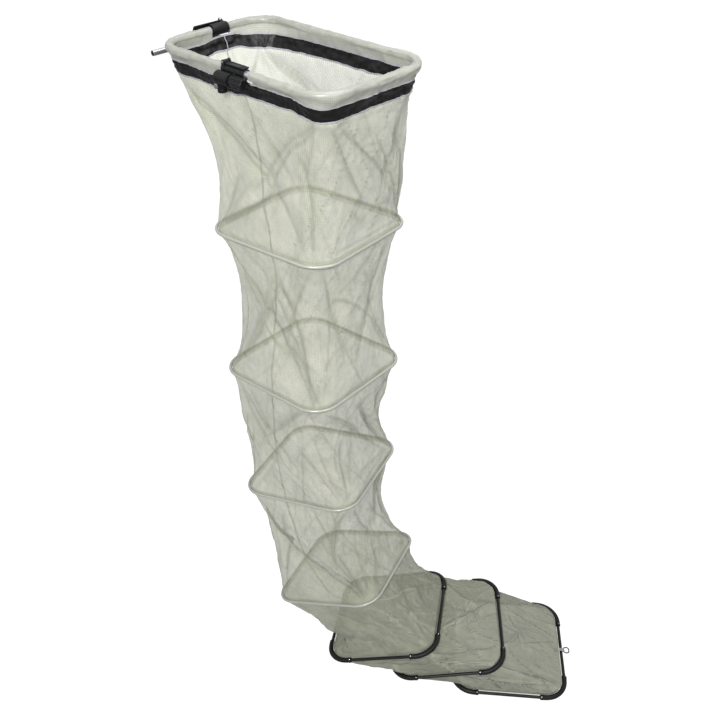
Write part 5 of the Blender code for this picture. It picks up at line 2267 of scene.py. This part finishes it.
@dataclass(frozen=True)
class FrontClamp:
    """The clip over the front of the frame, its lever, and the barrel and wheel on an axle outside it."""

    lever: CamLever
    start: float = -0.0360
    end: float = 0.0500
    radius: float = 0.0140
    seat: float = 0.0125
    pin_along: float = -0.0280
    lever_length: float = 0.078
    axle_out: float = 0.0235
    axle_drop: float = 0.0175
    axle_radius: float = 0.0030
    lug_start: float = 0.0150
    lug_end: float = 0.0210
    lug_radius: float = 0.0135
    barrel_start: float = -0.0375
    barrel_radius: float = 0.0175
    boss_along: float = -0.0240
    boss_radius: float = 0.0125
    boss_foot: float = 0.0550
    screw_height: float = 0.0085
    wheel_end: float = 0.0665
    wheel_cap: float = 0.0050
    wheel_radius: float = 0.0160
    wheel_lobe: float = 0.0014

    @property
    def on_tube(self) -> Matrix:
        """The clamp's frame on the tube."""
        return Matrix.Translation(FRAME_CENTRE + Vector((0, -FRAME_LINE.width / 2, 0)))

    @property
    def on_axle(self) -> Matrix:
        """The clamp's frame on the axle."""
        return self.on_tube @ Matrix.Translation((0, -self.axle_out, -self.axle_drop))

    @property
    def axle_bore(self) -> float:
        """The radius of what runs on the axle."""
        return self.axle_radius + GAP

    def make(self) -> None:
        """Makes every piece of the clamp."""
        self._saddle()
        self._barrel()
        self._axle()
        self._wheel()
        pin_place = self.on_tube @ Matrix.Translation((self.pin_along, 0, self.seat + self.lever.above_seat))
        self.lever.fit(Side.FRONT, self.lever_length, pin_place, "top_frame")

    def _rod(self, start: float, end: float, radius: float, steps: int = 56) -> Piece:
        """A round bar on the axle's line, in the tube's frame.

        Args:
            start: Where it starts.
            end: Where it ends.
            radius: Its radius.
            steps: Steps to the circle.

        Returns:
            The bar, which goes into a moulding.
        """
        rod = turned("rod", [(start, radius), (end, radius)], steps=steps, closed=False)
        rod.data.transform(Matrix.Translation((0, -self.axle_out, -self.axle_drop)))
        return rod

    def _saddle(self) -> None:
        """The clip, with a flat top, two ears and a lug for the axle."""
        start, end, clear = self.start, self.end, self.barrel_radius + 0.0005
        saddle = Moulding(collar("front_saddle_moulded", start, end, TUBE_BORE, self.radius, ribs=3))
        before = self._rod(start - 0.01, self.lug_start, clear)
        saddle.cut(before, self._rod(self.lug_end, end + 0.01, clear))
        saddle.add(self._rod(self.lug_start, self.lug_end, self.lug_radius))
        low = -math.hypot(self.axle_out, self.axle_drop)
        web = slab("web", (self.lug_start, -0.0080, low), (self.lug_end, 0.0080, -TUBE_BORE - 0.0006))
        web.data.transform(Matrix.Rotation(-math.atan2(self.axle_out, self.axle_drop), 4, "X"))
        saddle.add(web)
        saddle.cut(slab("flat", (start - 0.01, -0.03, self.seat), (end + 0.01, 0.03, 0.03)))
        height = self.seat + self.lever.above_seat
        saddle.add(*self.lever.ears(self.pin_along, height, TUBE_BORE))
        axle_hole = self._rod(self.lug_start - 0.01, self.lug_end + 0.01, self.axle_bore, 32)
        saddle.cut(self.lever.bore(self.pin_along, height), axle_hole)
        piece = saddle.rounded(0.0004, 2).placed(self.on_tube)
        dress(piece, NYLON, "top_frame", Slot.PLASTIC, "front_saddle")

    def _barrel(self) -> None:
        """The ribbed barrel with its threaded boss, and the wing screw in it."""
        bore, foot = self.axle_bore, self.boss_foot - self.axle_drop
        end, radius = self.lug_start - GAP, self.barrel_radius
        barrel = Moulding(collar("front_barrel_moulded", self.barrel_start, end, bore, radius, ribs=4))
        waist, sections = 0.93, []
        lip = ((0.0125, 1.0), (0.0115, waist), (0.009, waist), (0.008, 1.0), (0.001, 1.0), (0.0, 0.92))
        for z, share in ((foot - bore - 0.003, 1.0), *lip):
            ring = ring_points(self.boss_radius, 48)
            sections.append([Vector((self.boss_along + p.x * share, p.y * share, z - foot)) for p in ring])
        barrel.add(lofted("boss", sections))
        threads = []
        for step in range(24):
            radius = 0.0046 - (0.0 if step % 3 else 0.0005)
            z = -foot - 0.001 + step * 0.0005
            threads.append([Vector((self.boss_along + p.x, p.y, z)) for p in ring_points(radius, 28)])
        barrel.cut(lofted("thread", threads))
        screw_place = Matrix.Translation((self.boss_along - self.boss_radius, 0, self.screw_height - foot))
        seat = turned("seat", [(-0.01, 0.0027), (0.0061, 0.0027)], steps=28, closed=False)
        seat.data.transform(screw_place)
        barrel.cut(seat)
        piece = barrel.rounded(0.00035, 2).placed(self.on_axle)
        dress(piece, NYLON, "tilting_barrel", Slot.PLASTIC, "front_barrel")
        crest, root = 0.0024, 0.0020
        shank = [(-0.0080, crest)]
        for at in (-0.0060 + turn * 0.0011 for turn in range(11)):
            shank += [(at, crest), (at + 0.0005, root)]
        shank.append((0.0058, root))
        screw = Moulding(turned("front_screw_winged", shank, steps=28, closed=False))
        wing = slab("wing", (-0.0190, -0.0014, -0.0065), (-0.0060, 0.0014, 0.0065))
        screw.add(Moulding(wing).rounded(0.0013, 4).body)
        dress(screw.placed(self.on_axle @ screw_place), STEEL, "locking_screw", Slot.STEEL, "front_screw")

    def _axle(self) -> None:
        """The axle, with a domed head outside the barrel."""
        head, seat = self.barrel_start - GAP, self.wheel_end - self.wheel_cap - GAP
        profile = [(head - 0.0022, self.axle_radius), (head - 0.0020, 0.0052), (head - 0.0012, 0.0062)]
        profile += [(head, 0.0062), (head, self.axle_radius), (seat, self.axle_radius)]
        axle = turned("front_axle_bolt", profile, steps=36, closed=False)
        axle.data.transform(self.on_axle)
        dress(axle, STEEL, "top_frame", Slot.STEEL, "front_axle")

    def _wheel(self) -> None:
        """The locking wheel: six soft lobes, a waist, and a domed cap with a shallow ring."""
        start, end, steps = self.lug_end + GAP, self.wheel_end, 96
        lobes = []
        for angle in (math.tau * step / steps for step in range(steps)):
            swell = math.cos(6 * angle)
            reach = self.wheel_radius + self.wheel_lobe * math.copysign(abs(swell) ** 0.7, swell)
            lobes.append(Vector((reach * math.cos(angle), reach * math.sin(angle))))
        bore = ring_points(self.axle_bore, steps)
        from_start = ((0.0, 0.88), (0.0012, 0.96), (0.003, 0.995), (0.0245, 0.97), (0.026, 0.95))
        from_start += ((0.0275, 0.885), (0.0305, 0.885), (0.032, 0.95), (0.0335, 0.97))
        from_end = ((0.003, 0.96), (0.0012, 0.92), (0.0002, 0.84), (0.0001, 0.62), (0.0010, 0.58))
        from_end += ((0.0010, 0.30), (0.0012, 0.02))
        rings = [(bore, end - self.wheel_cap, 1.0), (bore, start, 1.0)]
        rings += [(lobes, start + along, k) for along, k in from_start]
        rings += [(lobes, end - along, k) for along, k in from_end]
        sections = [[Vector((along, p.x * k, p.y * k)) for p in ring] for ring, along, k in rings]
        wheel = lofted("front_wheel_moulded", sections)
        wheel.data.transform(self.on_axle)
        dress(wheel, NYLON, "locking_wheel", Slot.PLASTIC, "front_wheel")


@dataclass(frozen=True)
class RearClamp:
    """The arm, the bracket that holds it, and the collar with its lever on the frame's short side."""

    lever: CamLever
    along: float = 0.020
    radius: float = 0.0165
    half: float = 0.0290
    roll: float = math.radians(63)
    pin_along: float = -0.020
    lever_length: float = 0.098
    arm_radius: float = 0.0080
    arm_wall: float = 0.0015
    arm_out: float = 0.030
    arm_drop: float = 0.030
    bracket_before: float = 0.024
    bracket_after: float = 0.012
    bracket_radius: float = 0.0125

    @property
    def place(self) -> Matrix:
        """The collar's frame on the tube."""
        spot = FRAME_CENTRE + Vector((-FRAME_LINE.length / 2, self.along, 0))
        facing = Matrix.Rotation(-math.pi / 2, 4, "Z") @ Matrix.Rotation(self.roll, 4, "X")
        return Matrix.Translation(spot) @ facing

    def make(self) -> None:
        """Makes every piece of the clamp and the arm."""
        height = self.radius + self.lever.above_seat
        body = Moulding(collar("rear_collar_moulded", -self.half, self.half, TUBE_BORE, self.radius))
        body.add(*self.lever.ears(self.pin_along, height, TUBE_BORE))
        body.cut(self.lever.bore(self.pin_along, height))
        dress(body.rounded(0.0004, 2).placed(self.place), NYLON, "arm", Slot.PLASTIC, "rear_collar")
        pin_place = self.place @ Matrix.Translation((self.pin_along, 0, height))
        self.lever.fit(Side.REAR, self.lever_length, pin_place, "arm")
        self._arm()

    def _arm(self) -> None:
        """The arm's tube, the plug in its outer end, and the bracket between it and the collar."""
        middle, outer = FRAME_CENTRE.y + self.along, self.arm_radius
        low, high = middle - self.bracket_before, middle + self.bracket_after
        length, inner = high + 0.008, outer - self.arm_wall
        wall = [(0.0, inner), (0.0, outer - 0.0003), (0.0003, outer), (length - 0.0003, outer)]
        wall += [(length, outer - 0.0003), (length, inner)]
        dress(turned("arm_tube_drawn", wall, Axis.Y, 48), ARM_TUBE, "arm", Slot.BARE, "arm_tube")
        fit = inner - GAP
        head = [(0.0, 0.0030), (0.0001, 0.0052), (0.0003, 0.0060), (0.0008, fit), (0.014, fit)]
        plug = turned("arm_plug_moulded", head, Axis.Y, 40, closed=False)
        dress(plug, NYLON, "arm", Slot.PLASTIC, "arm_end_plug")
        bore = outer + GAP
        bracket = Moulding(collar("rear_bracket_moulded", low, high, bore, self.bracket_radius, axis=Axis.Y))
        to_tube = Vector((self.arm_out, 0, self.arm_drop))
        web = slab("web", (bore + 0.001, low, -0.0070), (to_tube.length - 0.010, high, 0.0070))
        web.data.transform(Matrix.Rotation(-math.atan2(self.arm_drop, self.arm_out), 4, "Y"))
        bracket.add(web)
        clear = self.radius + GAP
        saddle = turned("saddle", [(low - 0.01, clear), (high + 0.01, clear)], Axis.Y, 64, closed=False)
        saddle.data.transform(Matrix.Translation(to_tube))
        bracket.cut(saddle)
        piece = bracket.rounded(0.0004, 2).placed(Matrix.Identity(4))
        dress(piece, NYLON, "arm", Slot.PLASTIC, "rear_bracket")


# The room


@dataclass(frozen=True)
class Studio:
    """A pale floor, white all round, soft lamps, and the camera at the photograph's angle."""

    camera_place: tuple[float, float, float] = (2.0976, -1.3823, 0.7313)
    camera_below_level: float = 36.28
    lens: float = 43.0
    floor_glow: float = 1.25
    floor_share: float = 0.80
    daylight: float = 0.26

    def make(self) -> None:
        """Sets up the room."""
        self._camera()
        self._floor()
        self._world()
        self._lamp("key", (2.2, -2.4, 1.8), (0.3, 0.2, -0.5), 0.9, 160)
        self._lamp("fill", (2.9, 0.3, 1.6), (0.3, 0.2, -0.7), 1.4, 30)
        self._lamp("top", (0.5, 0.8, 2.2), (0.35, 0.2, -0.6), 1.6, 34)
        bpy.context.scene.view_settings.view_transform = "Standard"

    def _camera(self) -> None:
        """The camera."""
        data = bpy.data.cameras.new("camera")
        data.lens = self.lens
        data.sensor_width = 36.0
        camera = linked("camera", data)
        camera.location = self.camera_place
        camera.rotation_euler = (math.radians(90 - self.camera_below_level), 0.0, CAMERA_HEADING)
        bpy.context.scene.camera = camera

    def _lamp(
        self, name: str, place: Sequence[float], aim: Sequence[float], size: float, power: float
    ) -> None:
        """Hangs a large soft lamp.

        Args:
            name: Its name.
            place: Where it is.
            aim: The point that it lights.
            size: How wide it is.
            power: Its power in watts.
        """
        data = bpy.data.lights.new(name, "AREA")
        data.shape = "DISK"
        data.size = size
        data.energy = power
        lamp = linked(name, data)
        lamp.location = place
        lamp.rotation_euler = (Vector(aim) - Vector(place)).to_track_quat("-Z", "Y").to_euler()

    def _floor(self) -> None:
        """A wide white floor that keeps a soft shadow."""
        corners = [(x, y, FLOOR_HEIGHT) for x, y in ((-14, -14), (16, -14), (16, 16), (-14, 16))]
        floor = new_piece("floor", corners, [(0, 1, 2, 3)], outward=False)
        material = bpy.data.materials.new("matt_white_floor")
        material.use_nodes = True
        tree = material.node_tree
        shader = tree.nodes["Principled BSDF"]
        shader.inputs["Base Color"].default_value = srgb("D8D8D8")
        shader.inputs["Roughness"].default_value = 0.9
        emission = {"Color": (1, 1, 1, 1), "Strength": self.floor_glow}
        glow = add_node(tree, "ShaderNodeEmission", emission).outputs[0]
        seen = add_node(tree, "ShaderNodeLightPath").outputs["Is Camera Ray"]
        share = add_node(tree, MATH, {0: seen, 1: self.floor_share}, operation="MULTIPLY").outputs[0]
        mix = add_node(tree, "ShaderNodeMixShader", {0: share, 1: shader.outputs[0], 2: glow})
        tree.links.new(mix.outputs[0], tree.nodes["Material Output"].inputs["Surface"])
        floor.data.materials.append(material)

    def _world(self) -> None:
        """White to the camera and in reflections, and a plain soft light on the object."""
        world = bpy.data.worlds.new("studio")
        bpy.context.scene.world = world
        world.use_nodes = True
        tree = world.node_tree
        tree.nodes.clear()
        rays = add_node(tree, "ShaderNodeLightPath").outputs
        seen = rays["Is Camera Ray"]
        for ray in ("Is Glossy Ray", "Is Transmission Ray"):
            seen = add_node(tree, MATH, {0: seen, 1: rays[ray]}, operation="MAXIMUM").outputs[0]
        level = {"Value": seen, "To Min": self.daylight, "To Max": 1.0}
        strength = add_node(tree, "ShaderNodeMapRange", level).outputs[0]
        back = add_node(tree, "ShaderNodeBackground", {"Color": (1, 1, 1, 1), "Strength": strength})
        add_node(tree, "ShaderNodeOutputWorld", {"Surface": back.outputs[0]})


def main() -> None:
    """Builds the room and the keepnet."""
    logging.basicConfig(level=logging.INFO, format="%(name)s %(message)s")
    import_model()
    Studio().make()
    shop = Workshop()
    cloth = TopCloth()
    lever = CamLever()
    TopFrame(cloth, shop).make()
    FrontClamp(lever).make()
    RearClamp(lever).make()
    net = Net(cloth)
    net.drape()
    Hoops(shop, net).make()
    net.make()


if __name__ == "__main__":
    main()
